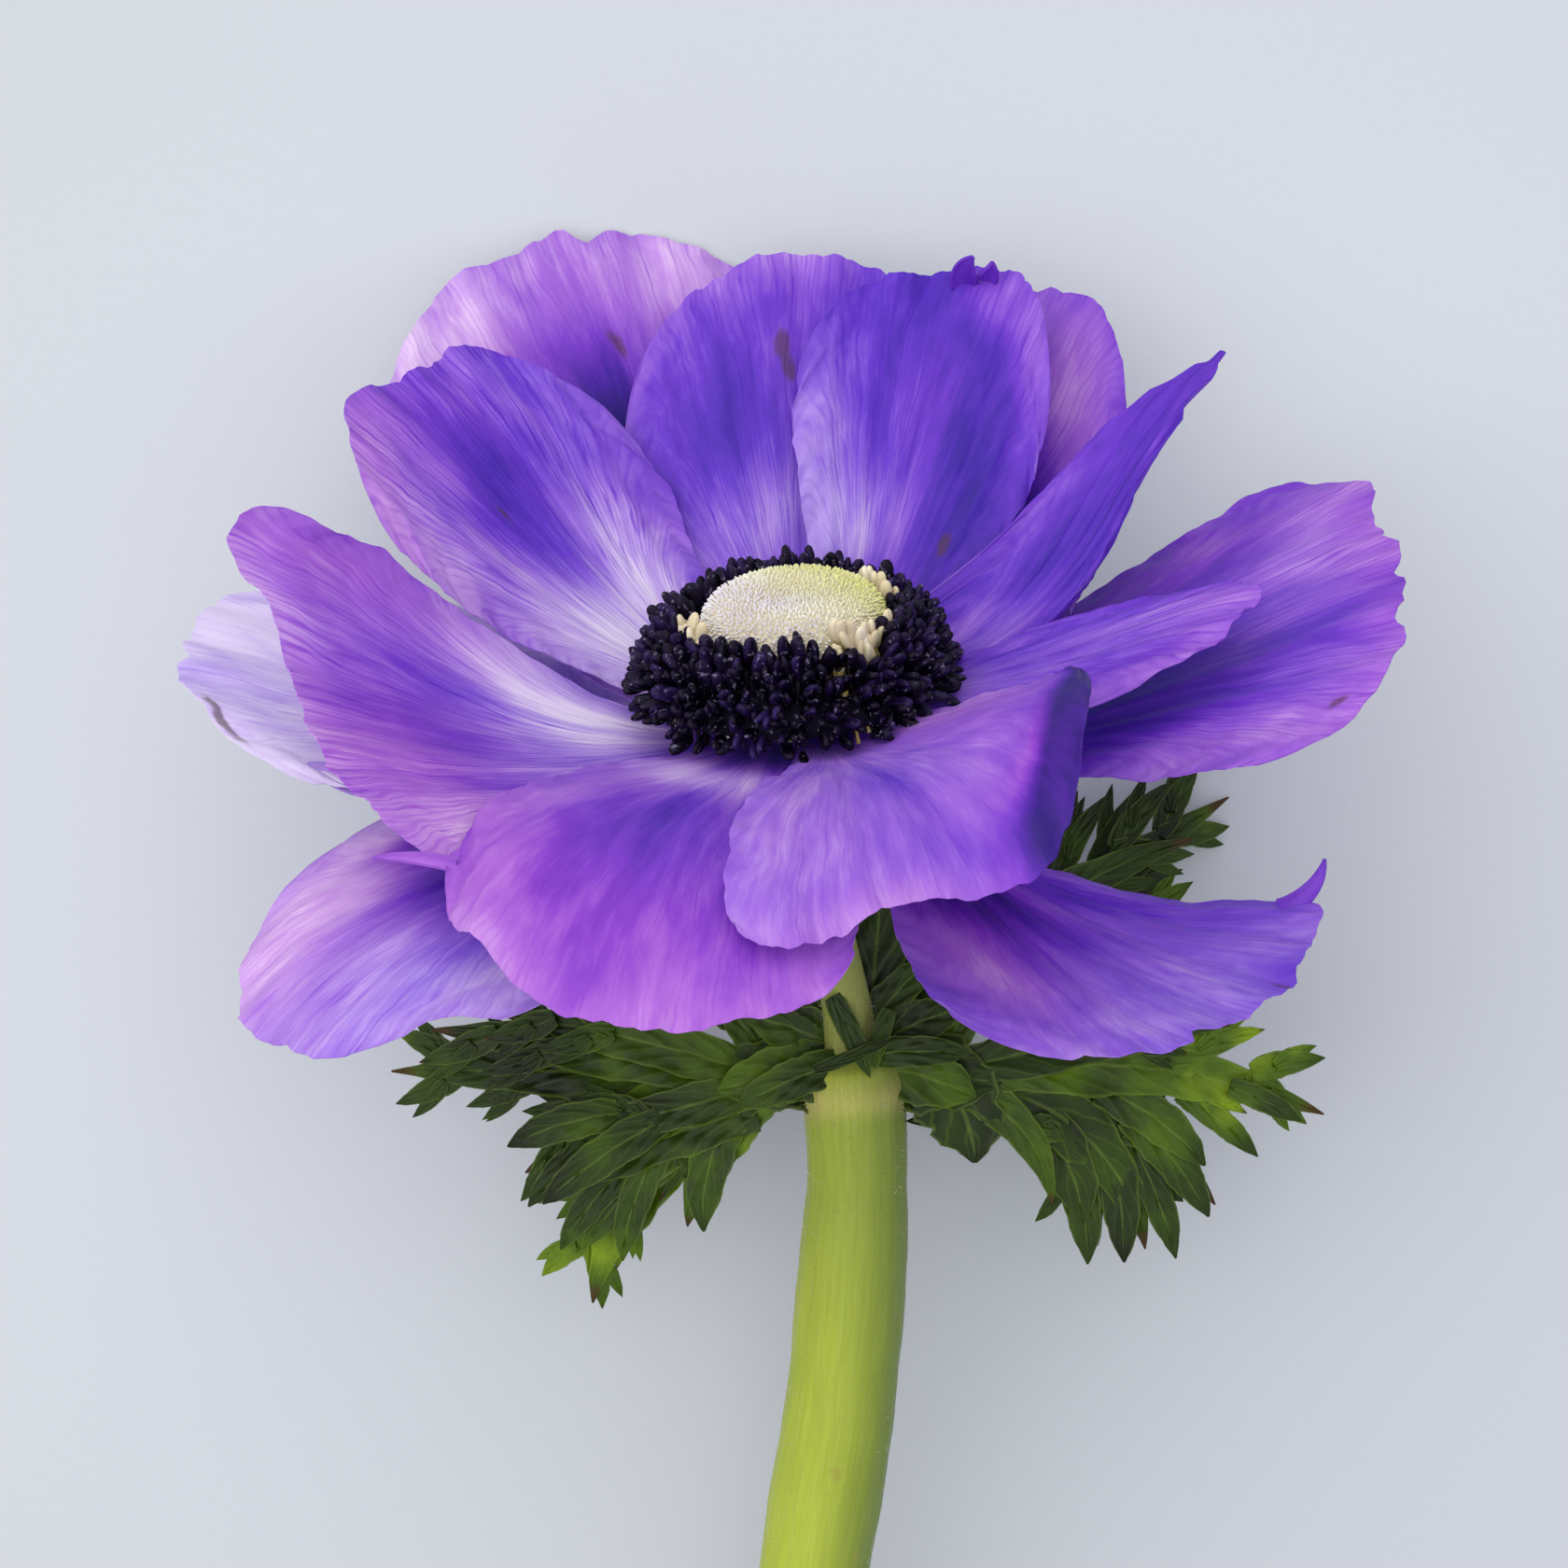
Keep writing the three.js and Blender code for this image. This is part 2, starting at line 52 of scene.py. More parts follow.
# ---------------------------------------------------------------- geometry helpers
def ease(values, x):
    """Smooth value at x from 0 to 1 through evenly spaced values."""
    values = np.asarray(values, float)
    x = np.clip(x, 0, 1)
    last = len(values) - 1
    if last == 0:
        return np.full(np.shape(x), values[0])
    padded = np.concatenate([[2 * values[0] - values[1]], values, [2 * values[-1] - values[-2]]])
    index = np.minimum(np.floor(x * last).astype(int), last - 1)
    f = x * last - index
    a, b, c, d = (padded[index + k] for k in range(4))
    return b + 0.5 * f * (c - a + f * (2 * a - 5 * b + 4 * c - d + f * (3 * (b - c) + d - a)))


def smooth(low, high, x):
    """Smooth step from 0 at low to 1 at high."""
    f = np.clip((x - low) / (high - low), 0, 1)
    return f * f * (3 - 2 * f)


def unit(v):
    return v / np.linalg.norm(v, axis=-1, keepdims=True)


def waves(x, seed, octaves=((3, 1.0), (7, 0.5), (15, 0.25))):
    """Seeded smooth wave between about -1 and 1."""
    phases = np.random.default_rng(seed).uniform(0, TURN, len(octaves))
    return sum(a * np.sin(k * x + p) for (k, a), p in zip(octaves, phases)) / 1.4


def radial(azimuth):
    """Level unit direction at an azimuth in radians."""
    return np.stack([np.cos(azimuth), np.sin(azimuth), 0 * azimuth], -1)


def circle(sides):
    return radial(np.arange(sides) * TURN / sides)[:, :2]


def hoop_quads(rows, columns):
    """Quads of a grid of points whose rows are closed rings."""
    at = np.arange(rows * columns).reshape(rows, columns)
    after = np.roll(at, -1, axis=1)
    return np.stack([at[:-1], after[:-1], after[1:], at[1:]], -1).reshape(-1, 4)


def bloom_pose(points):
    """From the bloom's own frame, axis along +Z, to the row frame, in mm."""
    tilt = math.radians(BLOOM_ELEVATION)
    axis = np.array([0, math.cos(tilt), math.sin(tilt)])
    right = np.array([1.0, 0, 0])
    basis = np.stack([right, np.cross(axis, right), axis])
    lean = math.radians(BLOOM_LEAN)
    turn = np.array([[math.cos(lean), math.sin(lean), 0], [-math.sin(lean), math.cos(lean), 0], [0, 0, 1]])
    return points @ basis @ turn + BLOOM_CENTRE


def link(name, data):
    item = bpy.data.objects.new(name, data)
    bpy.context.scene.collection.objects.link(item)
    return item


class Soup:
    """Vertices, faces and per-vertex data collected into one mesh."""

    def __init__(self):
        self.points, self.faces, self.slots, self.uvs, self.tones = [], [], [], [], []
        self.count = 0

    def add(self, points, faces, uv=None, tone=None, slots=0):
        """Points with their faces, one array or a list of arrays; slots says which material each has."""
        points = points.reshape(-1, 3)
        n = len(points)
        self.points.append(points)
        for block in faces if isinstance(faces, list) else [faces]:
            self.faces.append(block + self.count)
            self.slots.append(np.broadcast_to(slots, len(block)))
        self.uvs.append(np.zeros((n, 2)) if uv is None else np.asarray(uv, float).reshape(-1, 2))
        shades = np.zeros((n, 3)) if tone is None else np.asarray(tone, float).reshape(n, -1)
        self.tones.append(np.hstack([shades, np.ones((n, 4 - shades.shape[1]))]))
        self.count += n

    def add_slab(self, grid, thickness, uv, tone):
        """Closed thin body about a grid of points, whose back has the second material."""
        rows, columns = grid.shape[:2]
        normal = unit(np.cross(np.gradient(grid, axis=0), np.gradient(grid, axis=1)))
        offset = normal * (thickness / 2)[..., None]
        points = np.concatenate([(grid - offset).reshape(-1, 3), (grid + offset).reshape(-1, 3)])
        at = np.arange(rows * columns).reshape(rows, columns)
        a, b, c, d = at[:-1, :-1], at[1:, :-1], at[1:, 1:], at[:-1, 1:]
        face = np.stack([a, b, c, d], -1).reshape(-1, 4) + rows * columns
        back = np.stack([a, d, c, b], -1).reshape(-1, 4)
        rim = np.concatenate([at[0, :], at[1:, -1], at[-1, -2::-1], at[-2:0:-1, 0]])
        after = np.roll(rim, -1)
        side = np.stack([rim, rim + rows * columns, after + rows * columns, after], -1)
        slots = np.repeat([0, 1, 0], [len(face), len(back), len(side)])
        uv, tone = (np.tile(values.reshape(-1, values.shape[-1]), (2, 1)) for values in (uv, tone))
        self.add(points, np.concatenate([face, back, side]), uv, tone, slots)

    def build(self, name, materials, replaces, slot, sharp=50):
        points = np.concatenate(self.points) * MM
        faces = [tuple(f) for block in self.faces for f in block.tolist()]
        mesh = bpy.data.meshes.new(name)
        mesh.from_pydata(points.tolist(), [], faces)
        corner = np.empty(len(mesh.loops), int)
        mesh.loops.foreach_get("vertex_index", corner)
        layer = mesh.uv_layers.new(name="fan")
        layer.data.foreach_set("uv", np.concatenate(self.uvs)[corner].ravel())
        tone = mesh.attributes.new("tone", "FLOAT_COLOR", "POINT")
        tone.data.foreach_set("color", np.concatenate(self.tones).ravel())
        mesh.polygons.foreach_set("material_index", np.concatenate(self.slots))
        mesh.polygons.foreach_set("use_smooth", np.ones(len(mesh.polygons), bool))
        mesh.set_sharp_from_angle(angle=math.radians(sharp))
        for material in materials:
            mesh.materials.append(material)
        mesh.update()
        piece = link(name, mesh)
        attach(piece, "root")
        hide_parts(replaces)


def blade_spine(start, heading, climb, length, turn, droop, steps):
    """Points, sides, directions, yaws and pitches along a blade, with even steps."""
    place = np.arange(steps + 1) / steps
    yaw, pitch = np.radians(heading + turn * place), np.radians(climb - droop * place)
    side = np.stack([-np.sin(yaw), np.cos(yaw), 0 * yaw], -1)
    ahead = np.stack([np.cos(yaw) * np.cos(pitch), np.sin(yaw) * np.cos(pitch), np.sin(pitch)], -1)
    points = start + np.vstack([[0, 0, 0], np.cumsum(ahead[:-1] * length / steps, axis=0)])
    return points, side, ahead, heading + turn * place, climb - droop * place


def bristles(roots, axes, lengths, radii, rings, section, rolls=None):
    """Many small closed bodies alike: rings are (share of the length, share of the radius)."""
    n, r, k = len(roots), len(rings), len(section)
    axes = unit(axes)
    hint = np.where(np.abs(axes[:, 2:]) < 0.9, [[0.0, 0, 1]], [[1.0, 0, 0]])
    side = unit(np.cross(hint, axes))
    up = np.cross(axes, side)
    if rolls is not None:
        cos, sin = np.cos(rolls)[:, None], np.sin(rolls)[:, None]
        side, up = side * cos + up * sin, up * cos - side * sin
    rings = np.asarray(rings)
    lengths = np.broadcast_to(lengths, n)
    radii = np.broadcast_to(radii, n)
    centre = roots[:, None] + axes[:, None] * (lengths[:, None] * rings[:, 0])[..., None]
    shape = side[:, None] * section[:, :1] + up[:, None] * section[:, 1:]
    body = centre[:, :, None] + shape[:, None] * (radii[:, None] * rings[:, 1])[..., None, None]
    ends = np.stack([roots, roots + axes * lengths[:, None]], 1)
    points = np.concatenate([body.reshape(n, -1, 3), ends], 1)
    at = np.arange(r * k).reshape(r, k)
    turn = np.roll(at, -1, axis=1)
    foot = np.stack([turn[0], at[0], np.full(k, r * k)], -1)
    top = np.stack([at[-1], turn[-1], np.full(k, r * k + 1)], -1)
    step = (np.arange(n) * (r * k + 2))[:, None, None]
    quads = (hoop_quads(r, k) + step).reshape(-1, 4)
    caps = (np.concatenate([foot, top]) + step).reshape(-1, 3)
    along = np.concatenate([np.repeat(rings[:, 0], k), [0, 1]])
    return points.reshape(-1, 3), quads, caps, np.tile(along, n)


def add_bristles(soup, made, tone):
    points, quads, caps, along = made
    soup.add(points, [quads, caps], np.stack([0 * along, along], -1), tone)


# ---------------------------------------------------------------- material helpers
def linear(code):
    channels = [int(code[i : i + 2], 16) / 255 for i in (1, 3, 5)]
    return tuple(c / 12.92 if c <= 0.04045 else ((c + 0.055) / 1.055) ** 2.4 for c in channels) + (1.0,)


class Nodes:
    """The nodes of one material, made and linked with short calls."""

    def __init__(self, name):
        self.material = bpy.data.materials.new(name)
        self.material.use_nodes = True
        self.tree = self.material.node_tree
        self.tree.nodes.clear()

    def put(self, kind, inputs, **settings):
        node = self.tree.nodes.new(kind)
        for key, value in settings.items():
            setattr(node, key, value)
        for key, value in inputs.items():
            if isinstance(value, bpy.types.NodeSocket):
                self.tree.links.new(value, node.inputs[key])
            else:
                node.inputs[key].default_value = linear(value) if isinstance(value, str) else value
        return node

    def place(self):
        return self.put("ShaderNodeTexCoord", {}).outputs["Object"]

    def fan_uv(self):
        return self.put("ShaderNodeUVMap", {}, uv_map="fan").outputs[0]

    def parts(self, vector):
        return self.put("ShaderNodeSeparateXYZ", {0: vector}).outputs

    def tones(self):
        """The four tones that the mesh carries at each point."""
        tone = self.put("ShaderNodeAttribute", {}, attribute_name="tone")
        split = self.put("ShaderNodeSeparateColor", {"Color": tone.outputs["Color"]})
        return [*split.outputs[:3], tone.outputs["Alpha"]]

    def blend(self, factor, a, b):
        return self.put("ShaderNodeMix", {0: factor, 6: a, 7: b}, data_type="RGBA").outputs[2]

    def calc(self, operation, *values, clamp=False):
        inputs = dict(enumerate(values))
        return self.put("ShaderNodeMath", inputs, operation=operation, use_clamp=clamp).outputs[0]

    def times(self, a, b):
        return self.calc("MULTIPLY", a, b)

    def minus(self, a, b):
        return self.calc("SUBTRACT", a, b)

    def times_plus(self, a, b, c, clamp=False):
        return self.calc("MULTIPLY_ADD", a, b, c, clamp=clamp)

    def band(self, value, low, high, to_low=0.0, to_high=1.0):
        """Smooth step of a value from low to high."""
        inputs = {"Value": value, "From Min": low, "From Max": high, "To Min": to_low, "To Max": to_high}
        return self.put("ShaderNodeMapRange", inputs, interpolation_type="SMOOTHSTEP").outputs[0]

    def noise(self, vector, scale, offset=(0, 0, 0), detail=3.0, rough=0.5, distort=0.0):
        """Noise between 0 and 1; one number as scale holds for all axes."""
        scale = (scale, scale, scale) if isinstance(scale, int) else scale
        moved = self.put("ShaderNodeMapping", {"Vector": vector, "Scale": scale, "Location": offset})
        inputs = {"Vector": moved.outputs[0], "Scale": 1.0, "Detail": detail, "Roughness": rough}
        inputs["Distortion"] = distort
        return self.put("ShaderNodeTexNoise", inputs).outputs["Fac"]

    def ramp(self, value, stops):
        node = self.put("ShaderNodeValToRGB", {0: value})
        points = node.color_ramp.elements
        while len(points) < len(stops):
            points.new(1.0)
        for point, (place, code) in zip(points, stops):
            point.position = place
            point.color = linear(code)
        return node.outputs[0]

    def bump(self, height, distance, strength):
        inputs = {"Height": height, "Distance": distance, "Strength": strength}
        return self.put("ShaderNodeBump", inputs).outputs[0]

    def finish(self, inputs, through=0.0):
        """The material with its principled skin; through is the share of light passing it."""
        shader = self.put("ShaderNodeBsdfPrincipled", inputs)
        if through:
            glow = {"Color": inputs["Base Color"]}
            if "Normal" in inputs:
                glow["Normal"] = inputs["Normal"]
            behind = self.put("ShaderNodeBsdfTranslucent", glow)
            mixed = {0: through, 1: shader.outputs[0], 2: behind.outputs[0]}
            shader = self.put("ShaderNodeMixShader", mixed)
        self.put("ShaderNodeOutputMaterial", {0: shader.outputs[0]})
        return self.material


# ---------------------------------------------------------------- tepals
# Forms repeat the solids' values. Looks: level from 0 deep to 1 pale, share of pink, marks as
# [across, along, reach across, reach along, change of level, change of pink], brown spots and
# net, the strength of the veins. Besides the tepals' own colour patches, the marks hold painted
# shade at the claws, in hollows, in folds and where tepals lie under others, and painted
# highlights where a tepal bulges.
VEIN_SPREAD = 0.42
TEPALS = {
    "tepal_inner_back": dict(
        azimuth=86, root=-3.4, length=45, half=[14, 13], flare=[1.1, 1.1], lift=[5, 30, 38, 28],
        curl=[[0, 0, 5], [0, 0, 0]], shoulder=[0.4, 0.4], level=0.44, pink=0.05, net=0.7,
        marks=[
            [0.2, 0.44, 1, 0.13, 0.26, 0], [0, 0.86, 0.7, 0.16, -0.1, 0], [0.75, 0.7, 0.3, 0.3, -0.05, 0],
            [0.1, 1.02, 0.6, 0.08, 0.18, 0.25], [-0.3, 0.6, 0.5, 0.2, -0.08, 0],
        ],
        spots=[
            [0.1, 0.8, 0.05, 0.035], [0.06, 0.74, 0.04, 0.03], [-0.04, 0.66, 0.03, 0.03],
            [0, 0.54, 0.03, 0.04], [-0.28, 0.8, 0.04, 0.03],
        ],
    ),
    "tepal_inner_back_right": dict(
        azimuth=65, root=-2.6, length=41, half=[11, 10.5], flare=[1.6, 1.1], lift=[8, 33, 39, 28],
        curl=[[20, 30, 30], [0, 20, 50]], shoulder=[0.3, 0.35], twist=[5, 10, 6], lobes=[[-0.35, 1.5, 0.3]],
        level=0.38, pink=0.05, net=0.7,
        slivers=[
            [0.02, 0.97, 100, 30, 2.6, -60, 2.2, [0.25, 0.25, 0, 0.3]],
            [-0.1, 0.97, 60, 50, 2.2, 30, 1.6, [0.3, 0.3, 0, 0.3]],
        ],
        marks=[
            [0.95, 0.66, 0.35, 0.36, 0.3, 0.05], [0.55, 0.42, 0.7, 0.16, 0.34, 0],
            [-0.1, 0.7, 0.45, 0.28, -0.1, 0], [-0.7, 0.5, 0.4, 0.4, -0.12, 0],
            [-0.3, 0.97, 0.4, 0.1, 0.12, 0.2], [-0.75, 0.9, 0.25, 0.15, 0.14, 0.2],
        ],
        spots=[[-0.62, 0.42, 0.07, 0.03]],
    ),
    "tepal_inner_back_left": dict(
        azimuth=133, root=-3.0, length=41, half=[14, 12], flare=[1.2, 1.3], lift=[10, 25, 36, 28],
        curl=[[0, 15, 25], [10, 15, 15]], shoulder=[0.35, 0.35],
        lobes=[[-0.5, 2.5, 0.3], [0.45, 2.2, 0.25]], level=0.51, pink=0.1, net=1,
        marks=[
            [0.2, 0.28, 1.1, 0.2, 0.46, 0], [0.95, 0.5, 0.42, 0.34, 0.08, 0.1],
            [0, 0.8, 0.36, 0.24, -0.16, 0], [1, 0.8, 0.24, 0.3, 0.1, 0.4],
            [0.38, 0.76, 0.16, 0.1, 0.14, 0.25], [-0.6, 0.48, 0.3, 0.22, 0.2, 0],
            [-0.95, 0.72, 0.16, 0.2, -0.1, 0], [0.7, 0.95, 0.6, 0.12, 0.18, 0.75],
            [0.3, 0.6, 0.2, 0.2, -0.08, 0],
        ],
        spots=[[0.2, 0.64, 0.03, 0.02]],
    ),
    "tepal_inner_left": dict(
        azimuth=198, root=-3.0, length=35, half=[15, 17], flare=[1.0, 1.0], lift=[2, 13, 25, 28],
        curl=[[-10, -18, -26], [10, 50, 80]], shoulder=[0.4, 0.15], twist=[0, -6, -8],
        lobes=[[-0.88, 9, 0.32]], level=0.52, pink=0.12, net=0.9,
        marks=[
            [-0.6, 0.28, 0.55, 0.26, 0.42, 0], [0.2, 0.3, 0.6, 0.16, 0.12, 0],
            [0.35, 0.84, 0.8, 0.22, 0.1, 1], [0.8, 0.7, 0.35, 0.3, 0.16, 0.2],
            [-0.1, 0.62, 0.4, 0.18, -0.1, 0.1], [0.9, 0.45, 0.4, 0.5, 0.08, 0.7],
            [-0.9, 0.75, 0.25, 0.4, 0.06, 0.7], [0, 1, 1.2, 0.07, 0.12, 0.3], [0, 0.02, 1.2, 0.08, -0.3, 0],
        ],
    ),
    "tepal_inner_front_left": dict(
        azimuth=249, root=-1.6, length=40, half=[16, 16.5], flare=[1.0, 1.0], lift=[3, 12, -12, -40],
        curl=[[0, -12, -36], [10, 20, 0]], hem=[[0], [0, -40, -80]], shoulder=[0.25, 0.35],
        lobes=[[-0.6, -2, 0.3]], level=0.39, pink=0.42, net=0.3,
        slivers=[[-0.99, 0.95, 166, 0, 6.2, 20, 1.0, [0.5, 0.8, 0, 0.2]]],
        marks=[
            # painted shade at the claw where the tepal arches up from the ring, and a painted highlight
            # along its bulge (the mark at along 0.24)
            [0, 0.05, 1.3, 0.08, -0.3, -0.3], [-0.75, 0.38, 0.3, 0.3, 0.18, 0.1],
            [0.1, 0.45, 0.5, 0.2, -0.02, -0.2], [0, 0.85, 1.2, 0.22, 0.04, 0.5],
            [-0.25, 0.24, 1.0, 0.12, 0.34, -0.15], [0, 1, 1.3, 0.06, 0.16, 0.3],
            [-0.8, 0.8, 0.3, 0.3, 0.14, 0.4],
        ],
    ),
    "tepal_inner_front_right": dict(
        azimuth=286, root=-0.9, length=34.5, half=[17.5, 16], flare=[1.0, 1.5], lift=[1, 19, -4, -48],
        curl=[[20, 60, 80], [10, 10, -10]], hem=[[0, -60, -110], [0]], shoulder=[0.5, 0.1],
        lobes=[[-0.15, -2.5, 0.35], [0.85, -3, 0.3]], level=0.56, pink=0.25, net=0.25,
        marks=[
            # painted shade at the claw (first mark) and on the hem rolled down at the right end (the mark
            # with change of level -1.55)
            [0, 0.04, 1.2, 0.08, -0.34, 0], [-0.7, 0.75, 0.45, 0.28, 0.0, 0.1],
            [0.75, 0.45, 0.3, 0.35, 0, 0.5], [0.75, 0.95, 0.34, 0.12, -1.55, 0.1],
            [0.6, 0.8, 0.25, 0.04, 0.12, 0.4], [0, 0.45, 0.5, 0.2, -0.04, -0.15],
            [-0.4, 1, 0.8, 0.07, 0.08, 0.5], [0.3, 0.75, 0.4, 0.18, 0.05, 0.3],
        ],
    ),
    "tepal_inner_right": dict(
        azimuth=356, root=-1.0, length=31, half=[5.5, 8], flare=[1.5, 1.1], lift=[6, 15, 18, 14],
        curl=[[10, 0, -20], [0, -10, -30]], shoulder=[0.5, 0.5], level=0.5, pink=0.12, net=0.9,
        marks=[
            [0, 0.2, 1.2, 0.14, 0.12, 0], [1, 0.5, 0.2, 0.4, -0.1, 0], [0, 0.95, 1.2, 0.14, 0.06, 0.4],
            [-0.8, 0.8, 0.3, 0.3, 0.04, 0.3],
        ],
    ),
    "tepal_inner_right_blade": dict(
        azimuth=22, root=-2.0, length=38, half=[6.5, 3], flare=[1.6, 1.4], lift=[2, 20, 48, 40],
        curl=[[20, 60, 60], [0, 0, 0]], shoulder=[0.75, 0.7], sweep=[0, 8, 8, -14], lobes=[[0.1, 3, 0.25]],
        level=0.37, pink=0.08, net=0.6,
        marks=[
            [0.2, 0.75, 0.6, 0.2, -0.06, 0], [-0.1, 0.3, 0.9, 0.12, 0.22, 0],
            [0.8, 0.5, 0.2, 0.5, 0.14, 0.1], [0, 1, 1.2, 0.1, -0.12, 0],
        ],
    ),
    "tepal_outer_back_left": dict(
        azimuth=109, root=-5.4, length=54.5, half=[19, 18], flare=[0.9, 1.0], lift=[0, 27, 37, 31],
        curl=[[0, 0, 0], [0, 0, 0]], shoulder=[0.3, 0.35], lobes=[[0.75, -1.5, 0.25], [0.2, -1, 0.15]],
        level=0.68, pink=0.55, net=0.4,
        nicks=[[-0.16, 2.2, 0.09]],
        marks=[
            # the first mark is painted shade where this tepal shows between the inner tepals in front of it
            [0.05, 0.58, 0.7, 0.22, -0.7, -0.5], [0.75, 0.86, 0.35, 0.18, 0.24, 0.3],
            [0, 0.9, 0.2, 0.16, -0.08, 0], [-0.35, 0.9, 0.4, 0.12, 0.12, 0.25],
            [0.4, 0.72, 0.3, 0.12, 0.02, 0.35],
        ],
        spots=[[-0.12, 0.8, 0.04, 0.03]],
    ),
    "tepal_outer_back_right": dict(
        azimuth=61, root=-4.7, length=48, half=[12, 14], flare=[1.1, 1.0], lift=[-2, 29, 36, 30],
        curl=[[5, 5, 0], [0, 0, 0]], shoulder=[0.4, 0.6], lobes=[[0.1, -3, 0.5]], level=0.42, pink=0.35,
        net=0.5,
        marks=[
            [0, 0.52, 1.2, 0.2, -0.3, -0.2], [-0.45, 0.82, 0.35, 0.16, 0.18, 0.4],
            [0.2, 0.95, 0.5, 0.1, 0.1, 0],
        ],
    ),
    "tepal_outer_right": dict(
        azimuth=2, root=-6.6, length=43, half=[22, 19], flare=[0.95, 1.5], lift=[4, 17, 20, 16],
        curl=[[0, 0, 0], [0, 0, -20]], shoulder=[0.15, 0.35], lobes=[[0.72, 2.6, 0.16], [0.2, 0.5, 0.3]],
        level=0.47, pink=0.18, net=0.8,
        nicks=[[0.03, 0.9, 0.06], [-0.33, 1.3, 0.07], [0.3, 0.6, 0.05]],
        marks=[
            [-0.2, 0.42, 1, 0.22, -0.2, -0.1], [0.5, 0.86, 0.6, 0.18, 0.06, 0.1],
            [0.9, 0.6, 0.3, 0.3, -0.04, 0.4], [0, 1, 1.2, 0.1, 0.02, 0.5],
            [-0.9, 0.8, 0.25, 0.3, 0.16, 0.45], [-0.3, 0.75, 0.4, 0.12, -0.02, 0],
            [0.45, 0.62, 0.4, 0.14, -0.12, 0],
        ],
        spots=[[-0.75, 0.93, 0.03, 0.02]],
    ),
    "tepal_outer_front_right": dict(
        azimuth=312, root=-6.2, length=40.5, half=[15, 13.5], flare=[2.4, 1.5], lift=[-14, -14, -8, 8],
        curl=[[0, -10, 20], [0, 0, -10]], shoulder=[0.15, 0.4], lobes=[[0.85, -1, 0.25]], level=0.52,
        pink=0.3, net=0.3,
        nicks=[[-0.26, 1.5, 0.07], [-0.55, 0.8, 0.06]],
        slivers=[[0.95, 0.9, 20, 15, 5.4, 64, 1.5, [0.4, 0.3, 0, 0.3]]],
        marks=[
            [-0.5, 0.34, 0.7, 0.2, -0.5, 0.6], [0.6, 0.45, 0.3, 0.4, -0.06, -0.1],
            [0, 0.92, 1.2, 0.22, 0.08, -0.35], [-0.75, 0.65, 0.3, 0.25, 0.08, 0.6],
        ],
        spots=[[0.35, 0.99, 0.02, 0.03]],
    ),
    "tepal_outer_front_left": dict(
        azimuth=211, root=-7.4, length=44, half=[17, 14], flare=[1.1, 1.1], lift=[0, 4, -10, -34],
        curl=[[0, 0, -20], [0, 0, -20]], shoulder=[0.4, 0.4], lobes=[[0.75, -4, 0.2]], level=0.66,
        pink=0.25, net=0.4,
        marks=[
            # the first mark is painted shade in the hollow of the tepal
            [0, 0.52, 0.9, 0.15, -0.6, -0.1], [-0.75, 0.6, 0.12, 0.1, -0.4, 0],
            [0.5, 0.75, 0.45, 0.22, 0.1, -0.2], [-0.5, 0.88, 0.6, 0.26, 0.16, 0.7],
            [-0.8, 0.6, 0.4, 0.3, 0.16, 0.3], [0, 0.2, 1.2, 0.2, -0.2, 0], [0.9, 0.6, 0.2, 0.3, 0.1, -0.2],
        ],
    ),
    "tepal_outer_left": dict(
        azimuth=165, root=-6.4, length=44, half=[16, 16], flare=[1.1, 1.0], lift=[1, 12, 19, 15],
        curl=[[0, 0, 0], [0, 0, 0]], shoulder=[0.35, 0.35], level=0.92, pink=0.1, net=0.35,
        nicks=[[0.3, 0.9, 0.08], [-0.5, 0.7, 0.06]],
        slivers=[[0.96, 0.78, 168, 0, 4.6, -14, 2.2, [0.7, 0.1, 0.35, 0.3]]],
        marks=[
            [0, 0.42, 1.1, 0.22, -0.3, 0], [0, 0.95, 1.2, 0.22, 0.06, 0], [-0.7, 0.8, 0.3, 0.2, -0.04, 0.1],
        ],
        spots=[[0.75, 0.98, 0.16, 0.012]],
    ),
}
TEPAL_ROWS = 84
TEPAL_COLUMNS = 80
TEPAL_THICKNESS = 0.30
CLAW_START = 5.65
CLAW_WIDTH = 4.4
CLAW_EXTRA = 0.28
SPINE_STEPS = 120
SPINE_REACH = 1.2
CROSS_CUTS = 12
FURROW = 0.14
SIDE_FRILL = 0.22
TIP_FRILL = 0.28


